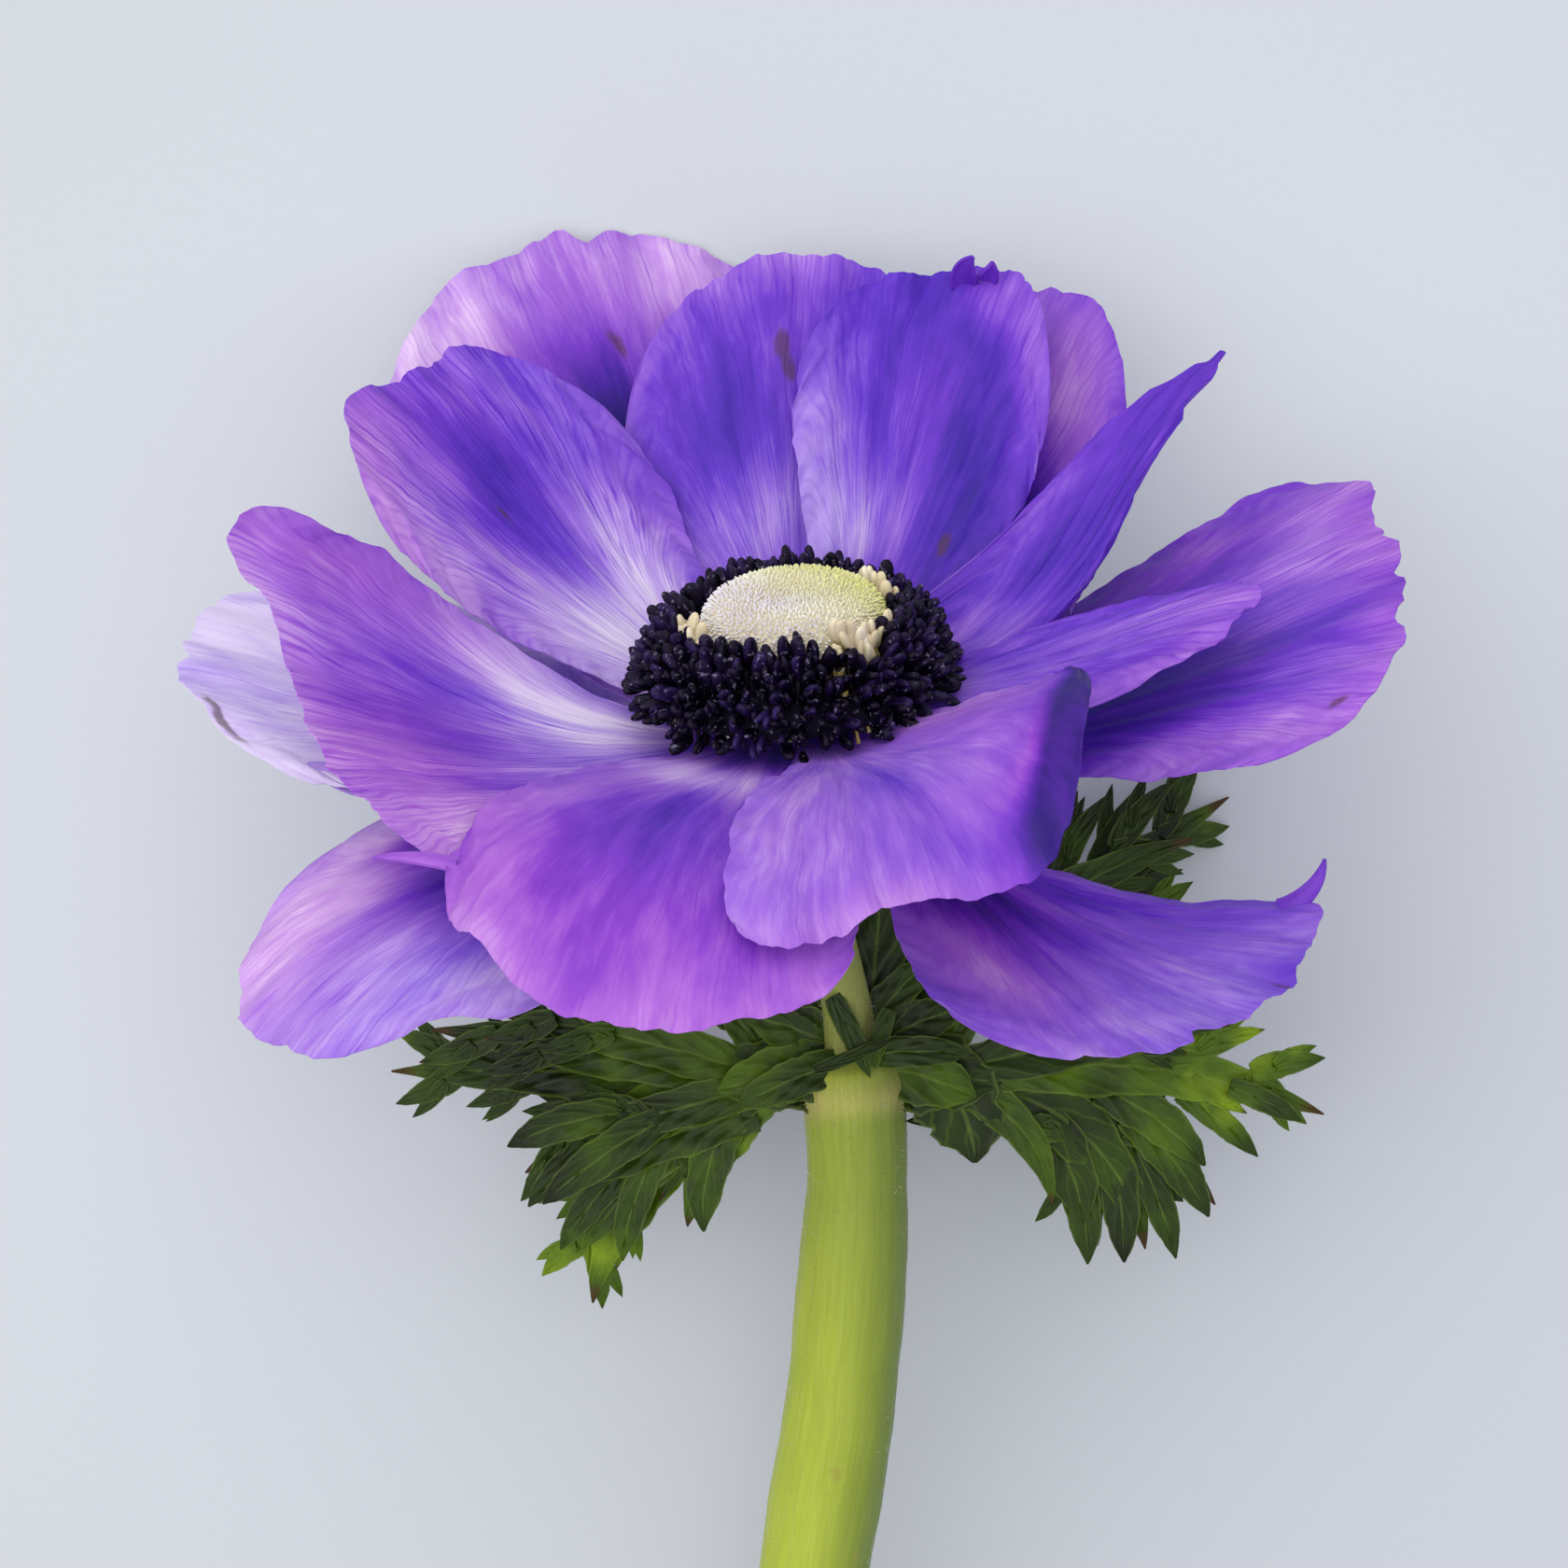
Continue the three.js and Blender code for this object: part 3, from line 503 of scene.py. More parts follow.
def tepal_grid(tepal, rows, columns, seed):
    """Mid-surface of a tepal in the bloom frame, with its across and along coordinates."""
    length = tepal["length"]
    outward = radial(math.radians(tepal["azimuth"]))
    leftward = np.array([-outward[1], outward[0], 0])
    place = np.minimum(np.arange(SPINE_STEPS + 1) / SPINE_STEPS * SPINE_REACH, 1)
    turn = np.radians(ease(tepal.get("sweep", [0]), place))[:, None]
    climb = np.radians(ease(tepal["lift"], place))[:, None]
    roll = np.radians(ease(tepal.get("twist", [0]), place))[:, None]
    heading = outward * np.cos(turn) + leftward * np.sin(turn)
    tangent = heading * np.cos(climb) + UP * np.sin(climb)
    level = np.stack([-heading[:, 1], heading[:, 0], np.zeros(SPINE_STEPS + 1)], -1)
    normal = np.cross(tangent, level)
    side = level * np.cos(roll) + normal * np.sin(roll)
    up = normal * np.cos(roll) - level * np.sin(roll)
    start = outward * CLAW_START + UP * tepal["root"]
    walked = np.cumsum(tangent * length * SPINE_REACH / SPINE_STEPS, axis=0)
    spine = np.vstack([start, start + walked[:-1]])

    s = np.linspace(0, 1, rows + 1)[:, None] * np.ones(columns + 1)
    t = np.sin(math.pi / 2 * np.linspace(-1, 1, columns + 1))[None, :] * np.ones((rows + 1, 1))
    size = np.abs(t)

    def by_hand(pair):
        return np.where(t > 0, pair[0], pair[1])

    def degrees_by_hand(pair, place):
        return np.radians(by_hand([ease(values, place) for values in pair]))

    spread = np.sin(math.pi / 2 * s ** by_hand(tepal["flare"]))
    half = CLAW_WIDTH / 2 + (by_hand(tepal["half"]) - CLAW_WIDTH / 2) * spread
    half = half * (1 + 0.018 * waves(s * 9, seed + 1) * smooth(0.35, 0.8, s))
    tip = 1 - by_hand(tepal["shoulder"]) * (1 - np.sqrt(np.maximum(0, 1 - t * t)))
    for middle, bulge, width in tepal.get("lobes", []):
        tip = tip + bulge / length * np.exp(-(((t - middle) / width) ** 2))
    for middle, depth, width in tepal.get("nicks", []):
        tip = tip - depth / length * np.maximum(0, 1 - np.abs(t - middle) / width)
    tip = tip + (0.35 * waves(t * 3, seed) + 0.12 * waves(t * 17, seed + 2)) / length
    along = s * tip
    bend = degrees_by_hand(tepal["curl"], along)
    hem_roll = degrees_by_hand(tepal.get("hem", [[0], [0]]), along)
    across = np.zeros_like(s)
    rise = np.zeros_like(s)
    for cut in range(CROSS_CUTS):
        u = size * (cut + 0.5) / CROSS_CUTS
        angle = bend * u + hem_roll * smooth(0.55, 0.95, u)
        across += np.cos(angle) * size * half / CROSS_CUTS
        rise += np.sin(angle) * size * half / CROSS_CUTS
    # soft furrows between the main veins and a fine frill at the margin
    rise += FURROW * waves(t * 6, seed + 3) * smooth(0.1, 0.6, s)
    rise += SIDE_FRILL * waves(s * 6, seed + 4) * smooth(0.75, 1, size)
    rise += TIP_FRILL * waves(t * 5, seed + 5) * smooth(0.82, 1, s)
    spot = np.minimum(along / SPINE_REACH * SPINE_STEPS, SPINE_STEPS - 1e-6)
    low = np.floor(spot).astype(int)
    f = (spot - low)[..., None]

    def along_spine(values):
        return values[low] * (1 - f) + values[low + 1] * f

    grid = along_spine(spine) + along_spine(side) * (np.sign(t) * across)[..., None]
    grid = grid + along_spine(up) * rise[..., None]
    return grid, t, s


def painted(t, s, tepal):
    """Broad tones of a tepal: level from deep to pale, with painted shade and painted highlights in it,
    share of pink, brown marks.
    """
    level = np.full_like(t, tepal["level"])
    pink = np.full_like(t, tepal["pink"])
    brown = np.zeros_like(t)
    for across, along, wide, long, lighter, pinker in tepal["marks"]:
        spread = np.exp(-(((t - across) / wide) ** 2) - ((s - along) / long) ** 2)
        level += lighter * spread
        pink += pinker * spread
    for across, along, wide, long in tepal.get("spots", []):
        brown += np.exp(-(((t - across) / wide) ** 2) - ((s - along) / long) ** 2)
    net = tepal["net"] * (1 - 0.6 * smooth(0.7, 1, np.abs(t)))
    return np.clip(np.stack([level, pink, brown, net], -1), 0, 1)


VIOLET = [
    (0.0, "#1e0678"), (0.22, "#3e16a6"), (0.42, "#6631ca"),
    (0.6, "#9064da"), (0.8, "#c0a4ea"), (1.0, "#ebe0f8"),
]
MAGENTA = [
    (0.0, "#380a7c"), (0.22, "#681cac"), (0.42, "#9440ca"),
    (0.6, "#b46cd6"), (0.8, "#d6a4e6"), (1.0, "#f4e0f4"),
]


def tepal_material(name, under):
    """Fine veins, flecks and soft clouds over the broad tones of the tepal."""
    n = Nodes(name)
    uv = n.fan_uv()
    base, pink, brown, net = n.tones()
    fan = n.parts(uv)[0]
    wander = n.noise(uv, (1.5, 0.45, 1), detail=2.0)
    waver = n.noise(uv, (5, 1.3, 1), (5, 2, 0), 2.0)
    streak = n.noise(uv, (5.5, 0.5, 1), (1, 7, 0), 3.0, 0.6)
    cloud = n.noise(uv, (1.1, 0.6, 1), (3, 9, 0), 3.0, 0.5, 0.4)
    mottle = n.noise(uv, (8, 2.2, 1), (8, 4, 0), 3.0, 0.6)
    dash = n.noise(uv, (15, 1.8, 1), (2, 5, 0), 2.0)
    phase = n.times_plus(wander, 17.0, n.times(waver, 5.0))
    wave = n.calc("SINE", n.times_plus(fan, 46.0, phase))
    close = n.calc("SINE", n.times_plus(fan, 118.0, n.times(phase, 2.2)))
    vein = n.times(n.band(wave, 0.72, 1.0), n.band(streak, 0.3, 0.6))
    thin = n.times(n.band(close, 0.3, 1.0), n.band(mottle, 0.3, 0.6))
    fleck = n.band(dash, 0.54, 0.72)
    level = n.times_plus(n.times(n.minus(streak, 0.5), net), 0.4, base)
    level = n.times_plus(cloud, 0.6, n.minus(level, 0.3))
    level = n.times_plus(mottle, 0.3, n.minus(level, 0.13))
    if under:
        level = n.times_plus(level, 0.5, 0.36)
    weight = n.times(n.band(level, 0.25, 0.85, 0.05, 0.26), net)
    lines = n.times_plus(vein, 0.5, n.times_plus(fleck, 0.7, n.times(thin, 0.55)))
    level = n.minus(level, n.times(lines, weight))
    pinker = n.times_plus(cloud, 0.8, n.minus(pink, 0.4), clamp=True)
    colour = n.blend(pinker, n.ramp(level, VIOLET), n.ramp(level, MAGENTA))
    mark = n.times_plus(mottle, 0.9, n.minus(brown, 0.45))
    colour = n.blend(n.band(mark, 0.25, 0.75, 0.0, 0.7), colour, "#55303f")
    height = n.times_plus(vein, -0.3, n.times(mottle, 0.6))
    inputs = {
        "Base Color": colour,
        "Roughness": n.band(streak, 0.3, 0.7, 0.42, 0.56),
        "Normal": n.bump(height, 0.0002, 0.35),
        "Specular IOR Level": 0.3,
        "Sheen Weight": 0.06,
        "Sheen Roughness": 0.4,
    }
    return n.finish(inputs, 0.3)


def edge_taper(t, s):
    """Share of the full thickness: thin at the free margin, full at the claw."""
    margin = np.maximum(smooth(0.9, 1, s), smooth(0.9, 1, np.abs(t)) * smooth(0.05, 0.2, s))
    return 1 - 0.62 * margin


SLIVER_OUTLINE = [1, 0.95, 0.8, 0.5, 0.06]


def add_sliver(soup, start, heading, climb, length, turn, width, look):
    """A narrow torn or rolled strip at a tepal's margin; look is level, pink, brown and net."""
    points, side, ahead = blade_spine(start, heading, climb, length, turn, 0, 12)[:3]
    place = np.linspace(0, 1, len(points))[:, None]
    t = np.linspace(-1, 1, 7)
    reach = width / 2 * ease(SLIVER_OUTLINE, place) * t
    dish = (reach * t * 0.4)[..., None] * np.cross(ahead, side)[:, None]
    grid = points[:, None] + side[:, None] * reach[..., None] + dish
    uv = np.stack(np.broadcast_arrays(reach / 10, place * length / 10), -1)
    soup.add_slab(grid, np.full(reach.shape, TEPAL_THICKNESS), uv, np.array(look) + 0 * reach[..., None])


tepal_skins = [tepal_material("tepal_face", False), tepal_material("tepal_under", True)]
for seed, (name, tepal) in enumerate(TEPALS.items(), 1):
    grid, t, s = tepal_grid(tepal, TEPAL_ROWS, TEPAL_COLUMNS, seed * 10)
    thickness = (TEPAL_THICKNESS + CLAW_EXTRA * (1 - smooth(0, 0.35, s))) * edge_taper(t, s)
    # the veins spread from the claw and run out through the side margins
    fan = t * max(tepal["half"]) / 10 / (VEIN_SPREAD + (1 - VEIN_SPREAD) * s)
    uv = np.stack([fan + seed * 3.1, s * tepal["length"] / 10 + seed * 1.7], -1)
    soup = Soup()
    soup.add_slab(bloom_pose(grid), thickness, uv, painted(t, s, tepal))
    for across, up_to, *sliver in tepal.get("slivers", []):
        row, column = int(up_to * TEPAL_ROWS), int(np.argmin(np.abs(t[0] - across)))
        add_sliver(soup, bloom_pose(grid[row, column]), *sliver)
    soup.build(f"{name}_skin", tepal_skins, name, "tepal_violet")


# ---------------------------------------------------------------- carpel dome
# radius and height from the foot to the top
DOME_PROFILE = [
    [4.9, 1.25], [5.7, 2.6], [6.6, 4.6], [6.9, 6.2], [6.3, 7.5], [4.8, 8.0], [2.6, 8.2], [0.05, 8.0]
]
DOME_SIDES = 72
DOME_ROWS = 40
DOME_SHIFT = 0.3
DOME_TINT = 0.35
PAPILLA_COUNT = 3600
PAPILLA_LENGTHS = (0.34, 0.52)
PAPILLA_RADII = (0.1, 0.135)
PAPILLA_RINGS = [[0, 1], [0.6, 0.95], [0.92, 0.5]]
PAPILLA_SIDES = 4


def dome_point(place, azimuth):
    """Point and outward direction on the dome; place runs from the foot to the top."""
    profile = np.asarray(DOME_PROFILE)

    def at(x):
        radius, height = ease(profile[:, 0], x), ease(profile[:, 1], x)
        dip = 0.55 * np.exp(-(((radius - 1.2) / 1.5) ** 2)) * (0.7 + 0.3 * np.cos(azimuth - 2.3))
        return radius, height - dip

    radius, height = at(place)
    radius_2, height_2 = at(np.clip(place + 0.01, 0, 1))
    radius_1, height_1 = at(np.clip(place - 0.01, 0, 1))
    run, rise = radius_2 - radius_1, height_2 - height_1
    size = np.hypot(run, rise) + 1e-9
    out, lift = rise / size, -run / size
    cos, sin = np.cos(azimuth), np.sin(azimuth)
    point = np.stack([radius * cos + DOME_SHIFT, radius * sin, height], -1)
    return point, np.stack([out * cos, out * sin, lift], -1)


def dome_material(name, root):
    """Silver at one side and green at the other, from the root's colour up."""
    n = Nodes(name)
    tip, greener, shade = n.tones()[:3]
    place = n.place()
    grain = n.noise(place, 900, detail=2.0)
    cloud = n.band(n.noise(place, 160, (3, 1, 2), 2.0), 0.35, 0.65)
    silver = n.blend(cloud, "#e9e8e0", "#ddd8e2")
    green = n.blend(cloud, "#dfdfa4", "#d0d27c")
    colour = n.blend(greener, silver, green)
    # the shade tone darkens towards beige: random per papilla, and painted shade at the lower rim on one
    # side
    colour = n.blend(n.band(shade, 0.0, 1.0, 0.0, 0.45), colour, "#b09a84")
    colour = n.blend(n.band(tip, 0.1, 0.8), root, colour)
    inputs = {
        "Base Color": colour,
        "Roughness": n.band(grain, 0.3, 0.7, 0.4, 0.65),
        "Normal": n.bump(grain, 0.0001, 0.5),
        "Sheen Weight": 0.25,
    }
    return n.finish(inputs)


angle = np.arange(DOME_SIDES) * TURN / DOME_SIDES
place, azimuth = np.meshgrid(np.linspace(0, 1, DOME_ROWS), angle, indexing="ij")
points, _ = dome_point(place, azimuth)
dome = Soup()
tone = np.tile([DOME_TINT, 0, 0], (DOME_ROWS * DOME_SIDES, 1))
dome.add(bloom_pose(points.reshape(-1, 3)), hoop_quads(DOME_ROWS, DOME_SIDES), tone=tone)
ring = np.arange(DOME_SIDES)
foot = np.vstack([points[0], [DOME_SHIFT, 0, DOME_PROFILE[0][1]]])
dome.add(bloom_pose(foot), np.stack([np.roll(ring, -1), ring, np.full(DOME_SIDES, DOME_SIDES)], -1))

count = np.arange(PAPILLA_COUNT)
place = 0.16 + 0.84 * (1 - (1 - (count + 0.5) / PAPILLA_COUNT) ** 0.62)
place = np.clip(place + rng.normal(0, 0.004, PAPILLA_COUNT), 0, 0.995)
azimuth = count * GOLDEN_ANGLE + rng.normal(0, 0.02, PAPILLA_COUNT)
roots, normals = dome_point(place, azimuth)
lean = (0.55 - 0.5 * place)[:, None]
stray = rng.normal(0, 0.10, (PAPILLA_COUNT, 3))
axes = unit(normals + radial(azimuth) * lean * 0.5 - UP * lean + stray)
lengths = rng.uniform(*PAPILLA_LENGTHS, PAPILLA_COUNT)
radii = rng.uniform(*PAPILLA_RADII, PAPILLA_COUNT)
made = bristles(roots - axes * 0.1, axes, lengths, radii, PAPILLA_RINGS, circle(PAPILLA_SIDES))
per = len(PAPILLA_RINGS) * PAPILLA_SIDES + 2
across = (roots[:, 0] * 0.75 + roots[:, 1] * 0.65) / 7
# painted shade: the papillae turn darker beige towards the dome's lower rim on one side; the rest of their
# shade is random
edge = 0.8 * (1 - smooth(0.2, 0.55, place)) * smooth(0.6, -0.6, across)
shade = np.minimum(1, 0.5 * rng.uniform(0, 1, PAPILLA_COUNT) ** 2 + edge)
tone = np.stack([made[3], np.repeat(smooth(-0.25, 0.75, across), per), np.repeat(shade, per)], -1)
papillae = Soup()
add_bristles(papillae, (bloom_pose(made[0]), *made[1:]), tone)
dome.build("carpel_dome", [dome_material("carpel_ground", "#b8a878")], "carpels", "carpel_cream")
papillae.build("carpel_styles", [dome_material("carpel_styles", "#d6caa8")], "carpels", "carpel_cream")


# ---------------------------------------------------------------- stamens
ANTHER_COUNT = 560
PALE_COUNT = 54
# ring radius, height and splay from the inner anthers to the outer ones
ANTHERS = dict(
    ring=[8.2, 8.9, 10.0, 11.2, 12.2], height=[6.2, 6.1, 5.1, 3.6, 0.9], splay=[6, 14, 36, 66, 104]
)
PALE_ANTHERS = dict(ring=[7.8, 8.5], height=[6.7, 6.2], splay=[2, 8])
ANTHER_LENGTHS = (2.5, 3.3)
ANTHER_RADII = (0.56, 0.7)
ANTHER_RINGS = [
    [0.0, 0.28], [0.07, 0.62], [0.22, 0.92], [0.5, 1.0], [0.76, 0.93], [0.92, 0.66], [0.985, 0.34]
]
FILAMENT_RADIUS = 0.17
FILAMENT_SIDES = 5
PALE_AZIMUTHS = [184, 192, 200, 208, 296, 306, 316, 326, 20, 40]
ANTHER_LIFT = 2.0  # how much higher the innermost stand in front of the dome
CUSHION_RADIUS = [7.9, 8.6, 9.6, 10.6, 11.0]
CUSHION_HEIGHT = [3.4, 3.7, 3.5, 2.7, 1.6]
CUSHION = [[6.6, 1.5], [7.4, 3.0], [8.4, 3.8], [9.8, 3.6], [10.9, 2.5], [11.0, 1.5], [9.0, 1.2]]
CUSHION_SIDES = 64


def stamen_material(name, ground, light, gloss):
    n = Nodes(name)
    shade, groove = n.tones()[1:3]
    place = n.place()
    grain = n.noise(place, 1500, detail=2.0)
    cloud = n.noise(place, 420, (5, 2, 1), 3.0)
    speck = n.noise(place, 2600, (3, 1, 4), 1.0)
    lift = n.times_plus(cloud, 0.9, n.times_plus(shade, 0.8, -0.75))
    colour = n.blend(n.band(lift, 0.0, 0.8), ground, light)
    # painted shade in the anthers' grooves
    colour = n.blend(n.times(groove, 0.6), colour, ground)
    colour = n.blend(n.band(speck, 0.62, 0.74, 0.0, 0.3), colour, "#a79fc0")
    inputs = {
        "Base Color": colour,
        "Roughness": n.band(cloud, 0.3, 0.7, gloss, gloss + 0.2),
        "Normal": n.bump(grain, 0.00008, 0.6),
        "Specular IOR Level": 0.22,
        "Specular Tint": (0.7, 0.6, 1.0, 1.0),
    }
    return n.finish(inputs)


def anther_section(sides=12):
    """Outline of an anther with its two grooves, and how deep in a groove each point is."""
    angle = np.arange(sides) * TURN / sides
    notch = np.exp(-((np.abs(np.sin(angle - math.pi / 2)) / 0.45) ** 2))
    size = 1 - 0.26 * notch
    return np.stack([np.cos(angle) * size, np.sin(angle) * size * 0.78], -1), notch


def add_anthers(soup, filaments, place, azimuth, scale, stand):
    """Anthers on their filaments; place runs from the inner rings at 0 to the outer ones at 1."""
    n = len(place)
    radius = ease(stand["ring"], place) + rng.normal(0, 0.22, n)
    height = ease(stand["height"], place) + rng.normal(0, 0.3, n)
    in_front = np.maximum(0, -np.sin(azimuth)) ** 1.5 * (1 - smooth(0, 0.5, place))
    height += ANTHER_LIFT * in_front * rng.uniform(0.2, 1, n)
    splay = np.radians(ease(stand["splay"], place) + rng.normal(0, 9, n))
    outward = radial(azimuth)
    around = radial(azimuth + math.pi / 2)
    axes = outward * np.sin(splay)[:, None] + UP * np.cos(splay)[:, None]
    axes = unit(axes + around * rng.normal(0, 0.16, n)[:, None])
    centres = outward * radius[:, None] + UP * height[:, None]
    lengths = rng.uniform(*ANTHER_LENGTHS, n) * scale * (1 - 0.25 * place)
    roots = centres - axes * lengths[:, None] / 2
    radii = rng.uniform(*ANTHER_RADII, n) * scale * (1 - 0.2 * place)
    section, notch = anther_section()
    made = bristles(roots, axes, lengths, radii, ANTHER_RINGS, section, rng.uniform(0, math.pi, n))
    per = len(ANTHER_RINGS) * len(section) + 2
    groove = np.tile(np.concatenate([np.tile(notch, len(ANTHER_RINGS)), [0, 0]]), n)
    tone = np.stack([made[3], np.repeat(rng.uniform(0, 1, n), per), groove], -1)
    add_bristles(soup, (bloom_pose(made[0]), *made[1:]), tone)

    foot = outward * ease(CUSHION_RADIUS, place)[:, None] + UP * (ease(CUSHION_HEIGHT, place) - 1.4)[:, None]
    stalk = roots + axes * 0.25 - foot
    size = np.linalg.norm(stalk, axis=1)
    thread = bristles(foot, stalk, size, FILAMENT_RADIUS, [[0, 1], [1, 0.8]], circle(FILAMENT_SIDES))
    per = 2 * FILAMENT_SIDES + 2
    tone = np.stack([thread[3], np.repeat(rng.uniform(0, 1, n), per), np.zeros(n * per)], -1)
    add_bristles(filaments, (bloom_pose(thread[0]), *thread[1:]), tone)


dark, pale_ones, threads, pale_threads = Soup(), Soup(), Soup(), Soup()
place = ((np.arange(ANTHER_COUNT) + 0.5) / ANTHER_COUNT) ** 0.75
azimuth = np.arange(ANTHER_COUNT) * GOLDEN_ANGLE + rng.normal(0, 0.05, ANTHER_COUNT)
pale_at = np.radians(PALE_AZIMUTHS)
# the dark anthers thin out where pale ones stand next to the dome
apart = np.min(np.abs(np.angle(np.exp(1j * (azimuth[:, None] - pale_at)))), axis=1)
kept = (place > 0.34) | (apart > 0.13) | (rng.uniform(0, 1, ANTHER_COUNT) < 0.22)
add_anthers(dark, threads, place[kept], azimuth[kept], 1.0, ANTHERS)
azimuth = rng.choice(pale_at, PALE_COUNT) + rng.normal(0, 0.1, PALE_COUNT)
add_anthers(pale_ones, pale_threads, rng.uniform(0, 1, PALE_COUNT), azimuth, 0.85, PALE_ANTHERS)
cushion = Soup()
ring = circle(CUSHION_SIDES)
rings = np.array([[[*(radius * at), height] for at in ring] for radius, height in CUSHION])
at = np.arange(len(CUSHION) * CUSHION_SIDES).reshape(len(CUSHION), CUSHION_SIDES)
above = np.roll(at, -1, axis=0)
faces = np.stack([np.roll(at, -1, axis=1), at, above, np.roll(above, -1, axis=1)], -1)
cushion.add(bloom_pose(rings.reshape(-1, 3)), faces.reshape(-1, 4))
for soup, name, skin, sharp in (
    (dark, "anthers", ("anther_dark", "#04010a", "#2c1c50", 0.32), 80),
    (pale_ones, "anthers_pale", ("anther_pale", "#cfc09c", "#f6eedc", 0.4), 80),
    (threads, "filaments", ("filament_dark", "#0c0916", "#2a2038", 0.5), 80),
    (pale_threads, "filaments_pale", ("filament_pale", "#b7a25c", "#e6da9c", 0.5), 80),
    (cushion, "stamen_cushion", ("stamen_cushion", "#0a0714", "#1c1428", 0.7), 50),
):
    soup.build(name, [stamen_material(*skin)], "stamens", "stamen_dark", sharp)


# ---------------------------------------------------------------- stem
# along the stem from the bloom's middle: centre and radius, in mm
STEM = np.array([
    [-0.06, 0.8, 0.41, 4.7], [-0.03, 0.36, 0.18, 5.3], [0.53, -6.75, -3.45, 5.3], [0.62, -7.8, -4.0, 4.2],
    [0.8, -9.3, -4.8, 2.7], [1.1, -11.5, -5.9, 2.0], [2.5, -17.5, -8.7, 1.85], [3.9, -23.5, -11.2, 1.9],
    [4.4, -27.2, -12.7, 2.3], [4.6, -28.8, -13.3, 3.6], [4.7, -30.6, -13.9, 4.15], [4.8, -33, -14.5, 4.0],
    [5.0, -38, -15.4, 4.0], [4.6, -46, -16.7, 4.25], [3.6, -57, -18.4, 4.4], [1.6, -70, -20.4, 4.4],
    [-1.0, -90, -23.5, 4.35], [-2.8, -115, -27.2, 4.3], [-3.6, -145, -31.2, 4.3], [-3.7, -172, -33.7, 4.3],
])
SHARP_STATIONS = 4
COLLAR_STATION = 10
FIRST_HAIRY_STATION = 7
STEM_STEPS = 12
STEM_SIDES = 56
HAIR_COUNT = 2600
HAIR_LENGTHS = (0.2, 0.5)
HAIR_RADIUS = 0.02


def stem_stations():
    """Centres, radii and directions along the stem, and the distance walked."""
    last = len(STEM) - 1
    x = np.linspace(0, 1, last * STEM_STEPS + 1)
    path = np.stack([ease(STEM[:, k], x) for k in range(4)], -1)
    sharp = np.stack([np.interp(x * last, np.arange(last + 1), STEM[:, k]) for k in range(4)], -1)
    path = np.where((x * last < SHARP_STATIONS)[:, None], sharp, path)
    along = unit(np.gradient(path[:, :3], axis=0))
    walked = np.concatenate([[0], np.cumsum(np.linalg.norm(np.diff(path[:, :3], axis=0), axis=1))])
    return path[:, :3], path[:, 3], along, walked


centres, radii, along, walked = stem_stations()
side = unit(np.array([1.0, 0, 0]) - along * along[:, :1])
up = np.cross(side, along)


def stem_ring(angle, index):
    """Unit direction from the centre line at an angle, 0 at +X and 90 degrees facing up."""
    return side[index] * np.cos(angle)[..., None] + up[index] * np.sin(angle)[..., None]


rows, columns = len(centres), STEM_SIDES
angle = np.arange(columns) * TURN / columns * np.ones((rows, 1))
index = np.arange(rows)[:, None] * np.ones(columns, int)
ribs = 0.05 * np.sin(angle * 13 + 0.4 * waves(walked * 0.03, 3)[:, None])
ribs = ribs + 0.05 * waves(angle, 5, ((3, 1), (5, 0.6)))
lumps = 0.09 * waves(walked[:, None] * 0.12 + angle * 0, 8)
reach = radii[:, None] + (ribs + lumps) * smooth(30, 36, walked)[:, None]
points = centres[:, None] + stem_ring(angle, index) * reach[..., None]
points[..., 2] = np.maximum(points[..., 2], -BLOOM_CENTRE[2])
stem = Soup()
faces = hoop_quads(rows, columns)[:, [0, 3, 2, 1]]
uv = np.stack([angle / TURN, walked[:, None] / 100 * np.ones_like(angle)], -1)
# the tones say how near the collar, in its shadow, above it and on the shaded side each point is
below = walked[:, None] - walked[COLLAR_STATION * STEM_STEPS]
tone = np.zeros((rows, columns, 4))
tone[..., 0] = np.exp(-(((below - 0.5) / 3.0) ** 2)) * (0.75 + 0.25 * np.cos(angle - 1.9))
tone[..., 1] = smooth(0, 3, below) * (1 - smooth(6, 26, below))
tone[..., 2] = 1 - smooth(-4, -1, below)
tone[..., 3] = smooth(-0.5, 1.0, np.cos(angle - 0.1))
stem.add(points.reshape(-1, 3) + BLOOM_CENTRE, faces, uv, tone)
# each end is closed by a rim, a ring a little further in and a middle that may be hollow
for end, step, hollow, slot_index in ((0, 0.12, 0.0, 0), (-1, -0.12, 0.5, 1)):
    rim, middle = points[end], centres[end]
    inner = middle + (rim - middle) * 0.9 + along[end] * step
    bowl = middle + (rim - middle) * 0.35 - along[end] * hollow
    cap = np.vstack([rim, inner, bowl, middle - along[end] * hollow])
    quads = hoop_quads(3, columns)
    ring = np.arange(columns) + 2 * columns
    tip = np.stack([ring, np.roll(ring, -1), np.full(columns, 3 * columns)], -1)
    if end < 0:
        quads, tip = quads[:, ::-1], tip[:, ::-1]
    stem.add(cap + BLOOM_CENTRE, [quads, tip], slots=slot_index)


